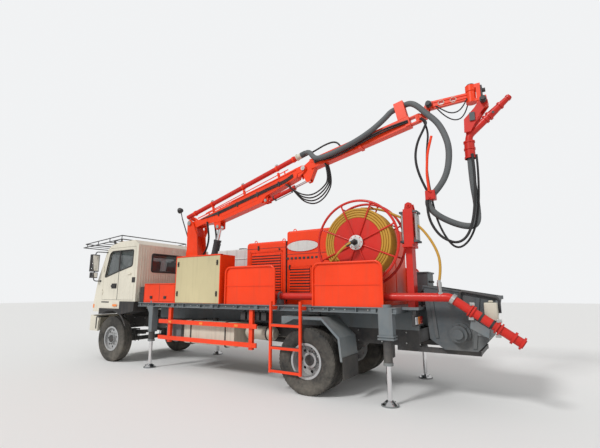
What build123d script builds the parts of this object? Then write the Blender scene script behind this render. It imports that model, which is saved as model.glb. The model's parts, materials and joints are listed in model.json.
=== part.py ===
"""Truck-mounted concrete spraying rig with a folding, telescopic boom and a hose reel.

Truck frame while building: x is measured forward from the rear axle, y to the truck's left, z up from the road.
Every node is shifted along x on export, so that the row's origin is at the middle of the overall length.
"""
import math
import os

from build123d import *

# Overall stations along the truck
WHEELBASE = 5400.0
RACK_FRONT_X = 7060.0

# Clearance of a piece at rest against its seat
SEAT = 0.3

# Wheels
TYRE_R = 510.0
TYRE_W = 250.0
RIM_R = 275.0
FRONT_TYRE_Y = 955.0
DUAL_OUTER_Y = 1090.0
DUAL_SPACING = 295.0
KINGPIN_Y = 760.0
SPRING_HALF = 620.0
BEAM_Z = (412.0, 500.0)
LEAF_Z = (566.0, 596.0, 626.0)
LEAF_T = 30.0
LEAF_HALF = (380.0, 520.0, SPRING_HALF)

# Ladder frame
RAIL_Y = 430.0
RAIL_W = 75.0
RAIL_Z = (760.0, 1000.0)
RAIL_WALL = 9.0
FRAME_FRONT_X = 6060.0
FRAME_REAR_X = -1600.0

# Fuel tanks outboard of the rails
TANK_Y = (520.0, 960.0)

# Deck
DECK_TOP = 1360.0
DECK_EDGE = 90.0
DECK_PLATE = 8.0
DECK_HALF_W = 1100.0
DECK_FRONT_X = 4430.0
DECK_REAR_X = -1450.0

# Stabiliser jacks
JACK_FRONT_X = 3980.0
JACK_REAR_X = -1285.0
JACK_Y = 1030.0
JACK_TUBE_R = 64.0
JACK_ROD_R = 36.0
JACK_BORE_GAP = 1.0
JACK_TUBE_Z = 545.0
JACK_FOOT_R = 120.0

# Cab
CAB_HALF_W = 1100.0
CAB_WALL = 50.0
CAB_REAR_X = 4550.0
CAB_FLOOR_Z = 1200.0
CAB_ROOF_Z = 2790.0
CAB_NOSE_X = 6190.0
DOOR_FRONT_X = 5850.0
DOOR_REAR_X = 4640.0
DOOR_SILL_Z = 1400.0
DOOR_TOP_Z = 2640.0
DOOR_GAP = 6.0
GLASS_T = 6.0
HINGE_R = 8.0
HINGE_Z = (1560.0, 2120.0)
TILT_X = 6100.0
TILT_Z = 1070.0
TILT_PIN_R = 20.0
BUMPER_TOP = 1030.0
CAB_NOSE_Z = 1115.0

# Lockers beside the turret
LOCKER_X = (3225.0, 4240.0)
LOCKER_TOP = 1765.0

# Turret and boom
SLEW_X = 3720.0
PEDESTAL_TOP = 1500.0
PEDESTAL_R = 240.0
RING_GAP = 0.3
RING_H = 70.0
CHEEK_Y = (118.0, 148.0)
BOOM_PIN = (3960.0, 3260.0)
PIN_R = 40.0
PIN_GAP = 1.0
ROD_GAP = 1.0
LINE_R = 52.0
COUPLING_Y = 330.0
PIPE_R = 60.0
PIPE_STUB = 120.0

# Lift cylinder: base pin on the turret, rod eye under the lower boom at (along, above)
LIFT_BASE = (3400.0, 1700.0)
LIFT_EAR = (820.0, -380.0)
LIFT_EAR_Y = (62.0, 92.0)
LIFT_PIN_R = 32.0

# Lower boom
LOWER_ANGLE = 14.8
LOWER_LEN = 3371.0
LOWER_W = 200.0
LINE_RISE = (250.0, 347.0)
LINE_S = (190.0, 3236.0)
FORK_Y = (70.0, 100.0)
FOLD_PIN_R = 34.0

# Fold cylinder: base pin under the lower boom, rod eye in the upper boom's crank at (along, above)
FOLD_BASE = (2290.0, -292.0)
FOLD_EAR_Y = (44.0, 66.0)
FOLD_CYL_PIN_R = 24.0
CRANK = (-30.0, -260.0)

# Upper boom and the slide inside it
UPPER_ANGLE = 12.2
UPPER_LEN = 1310.0
UPPER_W = 176.0
UPPER_H = 210.0
UPPER_MID = 30.0
UPPER_WALL = 8.0
TONGUE_Y = 64.0
CRANK_SLOT_Y = 44.0
CRANK_ROOM = 72.0
SLIDE_GAP = 0.6
SLIDE_START = 1010.0
SLIDE_END = 2290.0
HOSE_R = 52.0

# Spray head
WRIST_PIN_R = 22.0
TIP_PIN = (-1880.0, 4845.0)
TIP_PIN_R = 20.0
HEAD_AXIS_X = -2560.0
HEAD_PIN_R = 30.0
NOZZLE_PIN = (-2745.0, 4665.0)
NOZZLE_PIN_R = 20.0
SLEEVE_X = -2470.0
SLEEVE_Z = (3750.0, 4050.0)
NOZZLE_TIP = (-3120.0, 4685.0)
NOZZLE_BORE_R = 25.0

# Hose reel
REEL_X = -800.0
REEL_Z = 2365.0
REEL_RING_R = 690.0
REEL_TUBE_R = 20.0
REEL_Y = (600.0, 930.0)
REEL_DRUM_R = 415.0
REEL_COIL_R = 570.0
REEL_AXLE_R = 38.0
YELLOW_R = 19.0


def block(x, y, z):
    """A box from low and high limits on each axis."""
    size = [abs(b - a) for a, b in (x, y, z)]
    middle = [(a + b) / 2 for a, b in (x, y, z)]
    return Pos(*middle) * Box(*size)


def slab(points, y):
    """A plate with its outline in the x-z plane, between two y values."""
    outline = Polyline(*[(px, y[0], pz) for px, pz in points], close=True)
    return extrude(make_face(outline), amount=y[1] - y[0], dir=(0, 1, 0))


def rod(p, q, r):
    """A round bar from p to q."""
    p, q = Vector(*p), Vector(*q)
    seat = Plane(origin=p, z_dir=q - p)
    return seat * Cylinder(r, (q - p).length, align=(Align.CENTER, Align.CENTER, Align.MIN))


def across(x, z, r, y):
    """A round bar along y."""
    return rod((x, y[0], z), (x, y[1], z), r)


def bent_bar(points, r, bend, wall=0.0):
    """A round bar or tube along straight runs joined by tangent arcs."""
    bends = bend if isinstance(bend, (list, tuple)) else [bend] * (len(points) - 2)
    path = FilletPolyline(*points, radius=bends) if len(points) > 2 else Line(*points)
    seat = Plane(origin=path @ 0, z_dir=path % 0)
    bar = sweep(seat * Circle(r), path=path)
    if wall:
        bar -= sweep(seat * Circle(r - wall), path=path)
    return bar


def turned(profile, x, z, y):
    """A wheel-like solid: profile points (radius, offset) revolved about the y line through x, z."""
    outline = Polyline(*[(r, off, 0) for r, off in profile], close=True)
    solid = revolve(make_face(outline), axis=Axis.Y)
    return Pos(x, y, z) * solid


NODES = {}


def node(name, shapes):
    """Keeps one named node as a list of solids in the truck frame."""
    shapes = shapes if isinstance(shapes, (list, tuple)) else [shapes]
    NODES[name] = [s for shape in shapes for s in shape.solids()]


def boom_place(pin, angle):
    """Places shapes drawn with the boom lying level towards -x from its pin at the origin."""
    return Pos(pin[0], 0, pin[1]) * Rot(0, angle, 0)


def boom_point(pin, angle, s, t):
    """The truck x, z of a point s along and t above a boom's pin line."""
    a = math.radians(angle)
    return pin[0] - s * math.cos(a) + t * math.sin(a), pin[1] + s * math.sin(a) + t * math.cos(a)


# Wheels: tyre sections as (radius, offset) and the disc wheel inside it
def tyre(y):
    half = TYRE_W / 2
    section = [
        (RIM_R + SEAT, -half * 0.78), (RIM_R + 60, -half * 0.98), (TYRE_R - 110, -half),
        (TYRE_R - 40, -half * 0.92), (TYRE_R, -half * 0.72), (TYRE_R, half * 0.72),
        (TYRE_R - 40, half * 0.92), (TYRE_R - 110, half), (RIM_R + 60, half * 0.98),
        (RIM_R + SEAT, half * 0.78),
    ]
    return turned(section, 0, 0, y)


def rim(y, disc):
    """A rim well with its disc; disc is the offset of the disc from the tyre's middle."""
    half = TYRE_W / 2 * 0.82
    well = [
        (RIM_R, -half), (RIM_R, -half + 22), (RIM_R - 24, -half + 30), (RIM_R - 24, half - 30),
        (RIM_R, half - 22), (RIM_R, half), (RIM_R - 34, half), (RIM_R - 34, -half),
    ]
    plate = [(90, disc - 7), (RIM_R - 30, disc - 7), (RIM_R - 30, disc + 7), (90, disc + 7)]
    return turned(well, 0, 0, y) + turned(plate, 0, 0, y)


def wheels():
    hole_circle = 185.0
    for side, sign in (("left", 1), ("right", -1)):
        spot = Pos(WHEELBASE, 0, TYRE_R)
        node(f"front_tyre_{side}", spot * tyre(sign * FRONT_TYRE_Y))
        hub_y = (sign * (FRONT_TYRE_Y - 55), sign * (FRONT_TYRE_Y + 95))
        wheel = rim(sign * FRONT_TYRE_Y, sign * 40)
        hub = across(0, 0, 95, hub_y) - across(0, 0, 34, (hub_y[0], sign * (FRONT_TYRE_Y + 60)))
        for k in range(8):
            a = math.radians(45 * k)
            wheel -= across(hole_circle * math.cos(a), hole_circle * math.sin(a), 24,
                            (sign * FRONT_TYRE_Y, sign * (FRONT_TYRE_Y + 90)))
        node(f"front_rim_{side}", spot * (wheel + hub))
        spot = Pos(0, 0, TYRE_R)
        inner = DUAL_OUTER_Y - DUAL_SPACING
        node(f"rear_tyres_{side}", [spot * tyre(sign * y) for y in (DUAL_OUTER_Y, inner)])
        wheel = rim(sign * DUAL_OUTER_Y, -sign * 100) + rim(sign * inner, sign * 100)
        middle = (DUAL_OUTER_Y + inner) / 2
        hub = across(0, 0, 120, (sign * (middle - 60), sign * (middle + 130)))
        hub -= across(0, 0, 61, (sign * (middle - 61), sign * (middle + 70)))
        wheel += across(0, 0, 130, (sign * (middle - 50), sign * (middle + 50))) - across(
            0, 0, 100, (sign * (middle - 51), sign * (middle + 51)))
        for k in range(8):
            a = math.radians(45 * k)
            wheel -= across(hole_circle * math.cos(a), hole_circle * math.sin(a), 24,
                            (sign * (middle - 80), sign * (middle + 80)))
        node(f"rear_rims_{side}", spot * (wheel + hub))


def axles():
    beam = block((WHEELBASE - 45, WHEELBASE + 45), (-KINGPIN_Y + 70, KINGPIN_Y - 70), BEAM_Z)
    seats = [beam]
    for sign in (1, -1):
        eye = rod((WHEELBASE, sign * KINGPIN_Y, 420), (WHEELBASE, sign * KINGPIN_Y, 560), 62)
        eye += block((WHEELBASE - 45, WHEELBASE + 45), sorted((sign * (KINGPIN_Y - 75), sign * KINGPIN_Y)),
                     (425, 495))
        eye -= rod((WHEELBASE, sign * KINGPIN_Y, 400), (WHEELBASE, sign * KINGPIN_Y, 600), 26)
        seats.append(eye)
        seats.append(block((WHEELBASE - 60, WHEELBASE + 60),
                           sorted((sign * (RAIL_Y - 40), sign * (RAIL_Y + 40))),
                           (BEAM_Z[1] - 5, LEAF_Z[0] - SEAT)))
    front = Part() + seats
    leaves = []
    for sign in (1, -1):
        y = sorted((sign * (RAIL_Y - 35), sign * (RAIL_Y + 35)))
        for z, half in zip(LEAF_Z, LEAF_HALF):
            rise = 0.00011 * half * half
            leaves.append(slab([(WHEELBASE - half, z + rise), (WHEELBASE, z), (WHEELBASE + half, z + rise),
                                (WHEELBASE + half, z + LEAF_T + rise), (WHEELBASE, z + LEAF_T),
                                (WHEELBASE - half, z + LEAF_T + rise)], y))
    node("front_axle", front + leaves)
    for side, sign in (("left", 1), ("right", -1)):
        pin = rod((WHEELBASE, sign * KINGPIN_Y, 392), (WHEELBASE, sign * KINGPIN_Y, 590), 25)
        yoke = block((WHEELBASE - 50, WHEELBASE + 50),
                     sorted((sign * (KINGPIN_Y - 40), sign * (KINGPIN_Y + 100))), (565, 615))
        yoke += block((WHEELBASE - 50, WHEELBASE + 50),
                      sorted((sign * (KINGPIN_Y - 40), sign * (KINGPIN_Y + 100))), (355, 415))
        yoke += block((WHEELBASE - 50, WHEELBASE + 50),
                      sorted((sign * (KINGPIN_Y + 66), sign * (KINGPIN_Y + 116))), (355, 615))
        stub = across(WHEELBASE, TYRE_R, 33, (sign * (KINGPIN_Y + 100), sign * (FRONT_TYRE_Y + 58)))
        arm = block((WHEELBASE - 230, WHEELBASE - 40),
                    sorted((sign * (KINGPIN_Y - 50), sign * (KINGPIN_Y + 10))), (365, 400))
        node(f"knuckle_{side}", pin + yoke + stub + arm)
    inner = DUAL_OUTER_Y - DUAL_SPACING
    middle = (DUAL_OUTER_Y + inner) / 2
    house = across(0, TYRE_R, 60, (-middle - 66, middle + 66))
    house += Pos(0, 0, TYRE_R) * Sphere(205)
    house += rod((0, 0, TYRE_R + 10), (900, 0, TYRE_R + 120), 55)
    house += rod((900, 0, TYRE_R + 120), (3600, 0, 700), 50)
    for sign in (1, -1):
        y = sorted((sign * (RAIL_Y - 40), sign * (RAIL_Y + 40)))
        house += block((-70, 70), y, (TYRE_R - 20, 640))
        house += slab([(-760, 760), (-700, 700), (0, 620), (700, 700), (760, 760), (700, 759), (0, 690),
                       (-700, 759)], y)
    node("rear_axle", house)


def frame():
    rails = []
    for sign in (1, -1):
        y = sorted((sign * (RAIL_Y - RAIL_W / 2), sign * (RAIL_Y + RAIL_W / 2)))
        rail = block((FRAME_REAR_X, FRAME_FRONT_X), y, RAIL_Z)
        inside = sorted((sign * (RAIL_Y - RAIL_W / 2 - 1), sign * (RAIL_Y + RAIL_W / 2 - RAIL_WALL)))
        rail -= block((FRAME_REAR_X - 1, FRAME_FRONT_X + 1), inside,
                      (RAIL_Z[0] + RAIL_WALL, RAIL_Z[1] - RAIL_WALL))
        rails.append(rail)
    cross_y = (-RAIL_Y - RAIL_W / 2 + RAIL_WALL, RAIL_Y + RAIL_W / 2 - RAIL_WALL)
    ladder = Part() + rails
    for sign in (1, -1):
        for x in (WHEELBASE - SPRING_HALF + 30, WHEELBASE + SPRING_HALF - 30):
            ladder += block((x - 30, x + 30), sorted((sign * (RAIL_Y - 45), sign * (RAIL_Y + 45))),
                            (698.6, RAIL_Z[0] + RAIL_WALL))
        ladder += block((-2450, -1250), sorted((sign * (RAIL_Y - 40), sign * (RAIL_Y + 40))), (690, 760))
        for x in (1900, 2850):
            ladder += block((x - 40, x + 40), sorted((sign * (RAIL_Y + RAIL_W / 2), sign * (TANK_Y[0] - SEAT))),
                            (RAIL_Z[0], RAIL_Z[1] - 20))
        lug = block((6035, 6130), sorted((sign * 340, sign * 365)), (900, 1092))
        lug += block((5950, 6060), sorted((sign * 340, sign * 400)), (900, 990))
        ladder += lug
    ladder += across(TILT_X, TILT_Z, TILT_PIN_R, (-470, 470))
    ladder += block((-2450, -2380), (-400, 400), (700, 755))
    for x in (4760, 5640):
        ladder += block((x - 35, x + 35), cross_y, (700, 770 - SEAT))
    for x in (5990, 4250, 3100, 1900, 760, -760, -1500):
        ladder += block((x - 40, x + 40), cross_y, (RAIL_Z[0] + 20, RAIL_Z[1] - RAIL_WALL))
    node("chassis_frame", [ladder, pedestal()])
    node("engine_block", block((4700, 5750), (-300, 300), (770, 1130)))


def deck():
    low = DECK_TOP - DECK_EDGE
    x = (DECK_REAR_X, DECK_FRONT_X)
    body = block(x, (-DECK_HALF_W, DECK_HALF_W), (DECK_TOP - DECK_PLATE, DECK_TOP))
    for sign in (1, -1):
        edge = sorted((sign * (DECK_HALF_W - 60), sign * DECK_HALF_W))
        body += block(x, edge, (low, DECK_TOP))
        body -= block((x[0] - 1, x[1] + 1), sorted((sign * (DECK_HALF_W - 48), sign * (DECK_HALF_W + 1))),
                      (low + 14, DECK_TOP - 14))
        runner = sorted((sign * (RAIL_Y - 40), sign * (RAIL_Y + 40)))
        body += block((DECK_REAR_X - 150, DECK_FRONT_X), runner, (RAIL_Z[1], DECK_TOP - DECK_PLATE))
    for xc in (4390, 3300, 2200, 1100, 0, -1100, -1410):
        body += block((xc - 40, xc + 40), (-DECK_HALF_W + 20, DECK_HALF_W - 20), (low, DECK_TOP - DECK_PLATE))
    body += block((-1700, DECK_REAR_X), (-820, 820), (DECK_TOP - 40, DECK_TOP))
    for sign in (1, -1):
        y = sorted((sign * (JACK_Y - 75), sign * (JACK_Y + 70)))
        gusset = slab([(4120, low + 5), (3905, low + 5), (3905, 745), (4010, 745), (4030, 1150)], y)
        gusset -= rod((JACK_FRONT_X, sign * JACK_Y, 700), (JACK_FRONT_X, sign * JACK_Y, low),
                      JACK_TUBE_R + JACK_BORE_GAP)
        post = block((JACK_REAR_X - 105, JACK_REAR_X + 105), y, (900, DECK_TOP))
        for z in (900, 940):
            post += block((JACK_REAR_X - 120, JACK_REAR_X + 120),
                          sorted((sign * (JACK_Y - 90), sign * (JACK_Y + 85))), (z, z + 22))
        post -= rod((JACK_REAR_X, sign * JACK_Y, 800), (JACK_REAR_X, sign * JACK_Y, low),
                    JACK_TUBE_R + JACK_BORE_GAP)
        body += gusset + post
    node("deck", body)
    tubes = []
    for sign in (1, -1):
        for xc in (JACK_FRONT_X, JACK_REAR_X):
            tube = rod((xc, sign * JACK_Y, JACK_TUBE_Z), (xc, sign * JACK_Y, low - 1), JACK_TUBE_R)
            tube -= rod((xc, sign * JACK_Y, JACK_TUBE_Z - 1), (xc, sign * JACK_Y, low - 40),
                        JACK_ROD_R + JACK_BORE_GAP)
            tubes.append(tube)
    node("jack_tubes", tubes)
    for name, xc, sign in (("front_left", JACK_FRONT_X, 1), ("front_right", JACK_FRONT_X, -1),
                           ("rear_left", JACK_REAR_X, 1), ("rear_right", JACK_REAR_X, -1)):
        foot = [(0, 0), (JACK_FOOT_R, 0), (JACK_FOOT_R, 14), (70, 62), (48, 80), (0, 80)]
        profile = make_face(Polyline(*[(r, 0, h) for r, h in foot], close=True))
        pad = revolve(profile, axis=Axis.Z)
        shaft = rod((0, 0, 70), (0, 0, 790), JACK_ROD_R)
        node(f"jack_{name}", Pos(xc, sign * JACK_Y, 0) * (pad + shaft))


def bumper():
    nose = [(6060, 660), (6270, 660), (6270, BUMPER_TOP), (6150, BUMPER_TOP), (6150, 720), (6060, 720)]
    bar = slab(nose, (-CAB_HALF_W + 10, CAB_HALF_W - 10))
    for sign in (1, -1):
        y = sorted((sign * (CAB_HALF_W - 60), sign * (CAB_HALF_W - 10)))
        bar += slab([(6150, 660), (5940, 660), (5935, 860), (5900, 1010), (6150, 1010)], y)
        bar += block((FRAME_FRONT_X, 6160), sorted((sign * (RAIL_Y - 30), sign * (RAIL_Y + 30))), (790, 950))
    node("front_bumper", bar)


CAB_SIDE = [
    (CAB_REAR_X, 1370), (5100, 1370), (5100, CAB_FLOOR_Z), (5900, CAB_FLOOR_Z), (5900, CAB_NOSE_Z),
    (CAB_NOSE_X - 10, CAB_NOSE_Z), (CAB_NOSE_X, 1300), (6080, 1880), (5790, 2580), (5640, 2700),
    (5300, CAB_ROOF_Z - 10), (CAB_REAR_X + 160, CAB_ROOF_Z), (CAB_REAR_X, CAB_ROOF_Z - 110),
]
DOOR_WINDOW = [(5790, 1935), (5640, 2500), (5560, 2560), (4730, 2560), (4740, 2190), (5300, 2060)]


def hinge_barrels(x, y, moving):
    """Upright hinge barrels at a cab door's front edge: the leaf's, or the shell's above and below them."""
    side = math.copysign(1, y)
    axis_y = y + side * HINGE_R
    out = Part()
    for z in HINGE_Z:
        spans = [(z, z + 50)] if moving else [(z - 40, z - SEAT), (z + 50 + SEAT, z + 90)]
        for z0, z1 in spans:
            out += rod((x, axis_y, z0), (x, axis_y, z1), HINGE_R)
            reach = (x - 45, x) if moving else (x, x + 45)
            out += block(reach, sorted((y, y + side * 5)), (z0, z1))
    return out


def cab():
    inner_side = [
        (CAB_REAR_X + CAB_WALL, 1370 + CAB_WALL), (5150, 1370 + CAB_WALL), (5150, CAB_FLOOR_Z + CAB_WALL),
        (6130, CAB_FLOOR_Z + CAB_WALL), (6138, 1300), (6028, 1870), (5745, 2555), (5610, 2655),
        (5290, CAB_ROOF_Z - 60), (CAB_REAR_X + 170, CAB_ROOF_Z - 50), (CAB_REAR_X + CAB_WALL, CAB_ROOF_Z - 140),
    ]
    w = CAB_HALF_W
    shell = slab(CAB_SIDE, (-w, w)) - slab(inner_side, (-w + CAB_WALL, w - CAB_WALL))
    for sign in (1, -1):
        hole = [(DOOR_REAR_X, DOOR_SILL_Z), (DOOR_FRONT_X, DOOR_SILL_Z), (DOOR_FRONT_X, 2440),
                (5650, DOOR_TOP_Z), (DOOR_REAR_X, DOOR_TOP_Z)]
        shell -= slab(hole, sorted((sign * (w - CAB_WALL), sign * (w + 5))))
    shell -= block((5700, 6300), (-w + 95, w - 95), (1930, 2540))
    shell -= block((CAB_REAR_X - 10, CAB_REAR_X + CAB_WALL + 10), (-w + 380, w - 380), (2060, 2480))
    for sign in (1, -1):
        y = sorted((sign * 370, sign * 395))
        lug = slab([(6050, CAB_NOSE_Z + 5), (6160, CAB_NOSE_Z + 5), (6140, TILT_Z - 42), (6060, TILT_Z - 42)], y)
        lug -= across(TILT_X, TILT_Z, TILT_PIN_R + PIN_GAP, (y[0] - 1, y[1] + 1))
        shell += lug
    for sign in (1, -1):
        shell += hinge_barrels(DOOR_FRONT_X, sign * w, False)
    node("cab_shell", shell)
    rear_pane = block((CAB_REAR_X + 20, CAB_REAR_X + 20 + GLASS_T), (-w + 380.5, w - 380.5), (2060.5, 2479.5))
    low, high = 1930 + SEAT, 2540 - SEAT
    screen = slab([(6046, low), (5796, high), (5796 - GLASS_T, high), (6046 - GLASS_T, low)],
                  (-w + 95 + SEAT, w - 95 - SEAT))
    node("cab_glass", [rear_pane, screen])
    fender = []
    for sign in (1, -1):
        y = sorted((sign * 780, sign * (w + 20)))
        arch = slab([(5000, 1080), (4560, 1160), (4560, 1370), (5100, 1370), (5100, CAB_FLOOR_Z), (5900, CAB_FLOOR_Z),
                     (5900, 1060)], y)
        arch -= across(WHEELBASE, TYRE_R, 640, (y[0] - 1, y[1] + 1))
        fender.append(arch)
    node("front_fenders", fender)
    for side, sign in (("left", 1), ("right", -1)):
        y = sorted((sign * (w - CAB_WALL), sign * w))
        g = DOOR_GAP
        outline = [(DOOR_FRONT_X - g, DOOR_SILL_Z + g), (DOOR_FRONT_X - g, 2440 - 10), (5652, DOOR_TOP_Z - g),
                   (DOOR_REAR_X + g, DOOR_TOP_Z - g), (DOOR_REAR_X + g, DOOR_SILL_Z + g)]
        leaf = slab(outline, y)
        leaf -= slab(DOOR_WINDOW, (y[0] - 1, y[1] + 1))
        leaf += block((4760, 4890), sorted((sign * w, sign * (w + 25))), (1985, 2015))
        leaf += hinge_barrels(DOOR_FRONT_X, sign * w, True)
        node(f"door_{side}", leaf)
        pane = slab(DOOR_WINDOW, sorted((sign * (w - 28), sign * (w - 28 + GLASS_T))))
        node(f"door_glass_{side}", pane)
    rack_top, rack_low = 2960.0, 2870.0
    rw = w - 90
    bars = Part()
    for z, x0, x1, zf in ((rack_top, 5380, 6960, 2840), (rack_low, 5380, RACK_FRONT_X - 12, 2750)):
        for sign in (1, -1):
            bars += rod((x0, sign * rw, z), (x1, sign * rw, zf), 12)
        bars += rod((x0, -rw, z), (x0, rw, z), 12)
        bars += rod((x1, -rw, zf), (x1, rw, zf), 12)
    for sign in (1, -1):
        for k in range(4):
            t = k / 3
            x = 5380 + t * 1500
            bars += rod((x, sign * rw, rack_low - t * 108), (x, sign * rw, rack_top - t * 112), 9)
    for k in range(1, 6):
        t = k / 6
        x = 5380 + t * (RACK_FRONT_X - 12 - 5380)
        bars += rod((x, -rw, rack_low - t * 120), (x, rw, rack_low - t * 120), 9)
    for sign in (1, -1):
        bars += block((5370, 5400), sorted((sign * (rw - 20), sign * (rw + 5))), (2764, rack_low))
        bars += slab([(5560, 2719.2), (5630, 2702.8), (5720, 2850), (5640, 2856)],
                     sorted((sign * (rw - 12), sign * (rw + 5))))
    node("roof_rack", bars)
    mirrors = []
    for sign in (1, -1):
        arm = bent_bar([(5770, sign * (w + 8), 2550), (6080, sign * (w + 120), 2570),
                        (6080, sign * (w + 120), 1850), (5960, sign * (w + 8), 1850)], 12, 60)
        arm -= block((5700, 6100), sorted((sign * (w - 20), sign * (w + SEAT))), (1800, 2600))
        for x, z, half in ((5769, 2550, 12), (5960, 1850, 20)):
            arm += block((x - 20, x + 20), sorted((sign * (w + SEAT), sign * (w + 8))), (z - half, z + half))
        head = block((6045, 6125), sorted((sign * (w + 30), sign * (w + 225))), (2080, 2500))
        head += block((6045, 6125), sorted((sign * (w + 50), sign * (w + 205))), (1925, 2060))
        mirrors.append(arm + head)
    node("mirrors", mirrors)
    seats = Part()
    for y in (560, -160, -640):
        half = 230
        seats += block((4900, 5340), (y - half, y + half), (1600, 1740))
        seats += slab([(4780, 1640), (4900, 1640), (4820, 2330), (4720, 2330)], (y - half, y + half))
        seats += block((4930, 5300), (y - half + 30, y + half - 30), (1420 + SEAT, 1600))
    dash = slab([(5900, 1250.5), (6110, 1250.5), (6105, 1400), (6008, 1860), (5780, 1860), (5760, 1650)],
                (-w + CAB_WALL + 2, w - CAB_WALL - 2))
    column = rod((5800, 560, 1700), (5560, 560, 1900), 28)
    rim_plane = Plane(origin=(5560, 560, 1900), z_dir=(-0.77, 0, 0.64))
    wheel = rim_plane * Torus(220, 17)
    wheel += rim_plane * Box(440, 30, 16) + rim_plane * Cylinder(50, 40)
    node("cab_interior", seats + [dash + column + wheel])


def deck_gear():
    lockers, covers, panels = [], [], []
    for sign in (1, -1):
        out = DECK_HALF_W
        y = sorted((sign * 760, sign * out))
        locker = block(LOCKER_X, y, (DECK_TOP, LOCKER_TOP))
        locker -= block((LOCKER_X[0] + 20, LOCKER_X[1] - 20), sorted((sign * 780, sign * (out + 1))),
                        (DECK_TOP + 20, LOCKER_TOP - 20))
        axis_y, axis_z = sign * (out + HINGE_R), LOCKER_TOP - 12
        for x in (LOCKER_X[0] + 160, LOCKER_X[1] - 210):
            for x0, x1 in ((x - 40, x - SEAT), (x + 50 + SEAT, x + 90)):
                locker += rod((x0, axis_y, axis_z), (x1, axis_y, axis_z), HINGE_R)
                locker += block((x0, x1), sorted((sign * out, sign * (out + 5))), (axis_z, axis_z + 12))
        lockers.append(locker)
        leaf = block((LOCKER_X[0] + 26, LOCKER_X[1] - 26), sorted((sign * (out - 20), sign * out)),
                     (DECK_TOP + 26, LOCKER_TOP - 26))
        for x in (LOCKER_X[0] + 160, LOCKER_X[1] - 210):
            leaf += rod((x, axis_y, axis_z), (x + 50, axis_y, axis_z), HINGE_R)
            leaf += block((x, x + 50), sorted((sign * out, sign * (out + 5))), (axis_z - 45, axis_z))
        node("locker_door_left" if sign > 0 else "locker_door_right", leaf)
        box = block((1960, 3215), sorted((sign * 705, sign * (out - 25))), (DECK_TOP, 2310))
        lockers.append(box)
        covers.append(block((1975, 3200), sorted((sign * (out - 25), sign * (out + 15))), (DECK_TOP + 6, 2285)))
        for x0, x1 in ((700, 1850), (-1250, -70)):
            path = [(x0, DECK_TOP), (x0, 1950), (x0 + 90, 2040), (x1 - 90, 2040), (x1, 1950), (x1, DECK_TOP)]
            sheet = slab(path, sorted((sign * (out - 40), sign * (out - 36))))
            hoop = [(px, sign * (out - 20), pz) for px, pz in
                    ((x0, DECK_TOP), (x0, 2045), (x1, 2045), (x1, DECK_TOP))]
            panels.append(sheet + bent_bar(hoop, 17, 110))
            panels[-1] += block((x0, x1), sorted((sign * (out - 40), sign * (out - 24))), (1690, 1710))
    node("side_lockers", lockers)
    node("side_panels", covers + panels)
    rails = []
    for sign in (1, -1):
        side = Part()
        for z in (615, 940):
            side += block((1080, 3700), sorted((sign * 1060, sign * 1090)), (z, z + 80))
        for x in (3400, 1230):
            side += block((x - 40, x + 40), sorted((sign * 1000, sign * 1060)), (570, DECK_TOP - DECK_EDGE))
        rails.append(side)
    tanks = []
    for sign in (1, -1):
        tank = block((1700, 3050), sorted((sign * TANK_Y[0], sign * TANK_Y[1])), (560, 1010))
        tank = fillet(tank.edges().filter_by(Axis.X), 60)
        tanks.append(tank)
    node("fuel_tanks", tanks)
    steps = Part()
    for x in (640, 60):
        steps += block((x - 20, x + 20), (1240, 1280), (290, 1430))
        steps += block((x - 18, x + 18), (DECK_HALF_W, 1240), (1290, 1350))
    for z in (300, 660, 1020):
        steps += block((60, 640), (1242, 1278), (z, z + 45))
    node("side_rails_and_ladder", rails + [steps])
    guards = []
    for sign in (1, -1):
        y = sorted((sign * 640, sign * 1235))
        top = [(440, 1180), (-300, 1180), (-600, 900), (-640, 560), (-652, 560), (-612, 905), (-305, 1192),
               (440, 1192)]
        guard = slab(top, y)
        guard += block((-20, 20), sorted((sign * 700, sign * 740)), (1190, 1270))
        guards.append(guard)
    node("rear_mudguards", guards)


def hoods():
    def hood(x, y, top, corner):
        body = block(x, y, (DECK_TOP, top))
        edges = body.edges().filter_by(Axis.Y).filter_by_position(Axis.Z, top - 1, top + 1)
        body = fillet(edges, corner)
        edges = body.edges().filter_by(Axis.X).filter_by_position(Axis.Z, top - 1, top + 1)
        return fillet(edges, 40)

    y = (-820.0, 500.0)
    low = hood((850.0, 1830.0), y, 2575.0, 70)
    tall = hood((-1080.0, 840.0), y, 2745.0, 45)
    for k in range(24):
        z = 1600 + k * 31
        low -= block((960, 1690), (y[1] - 14, y[1] + 1), (z, z + 14))
        if k < 13:
            tall -= block((300, 760), (y[1] - 14, y[1] + 1), (z, z + 14))
    node("power_pack_hood", low)
    node("compressor_hood", tall)


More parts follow.
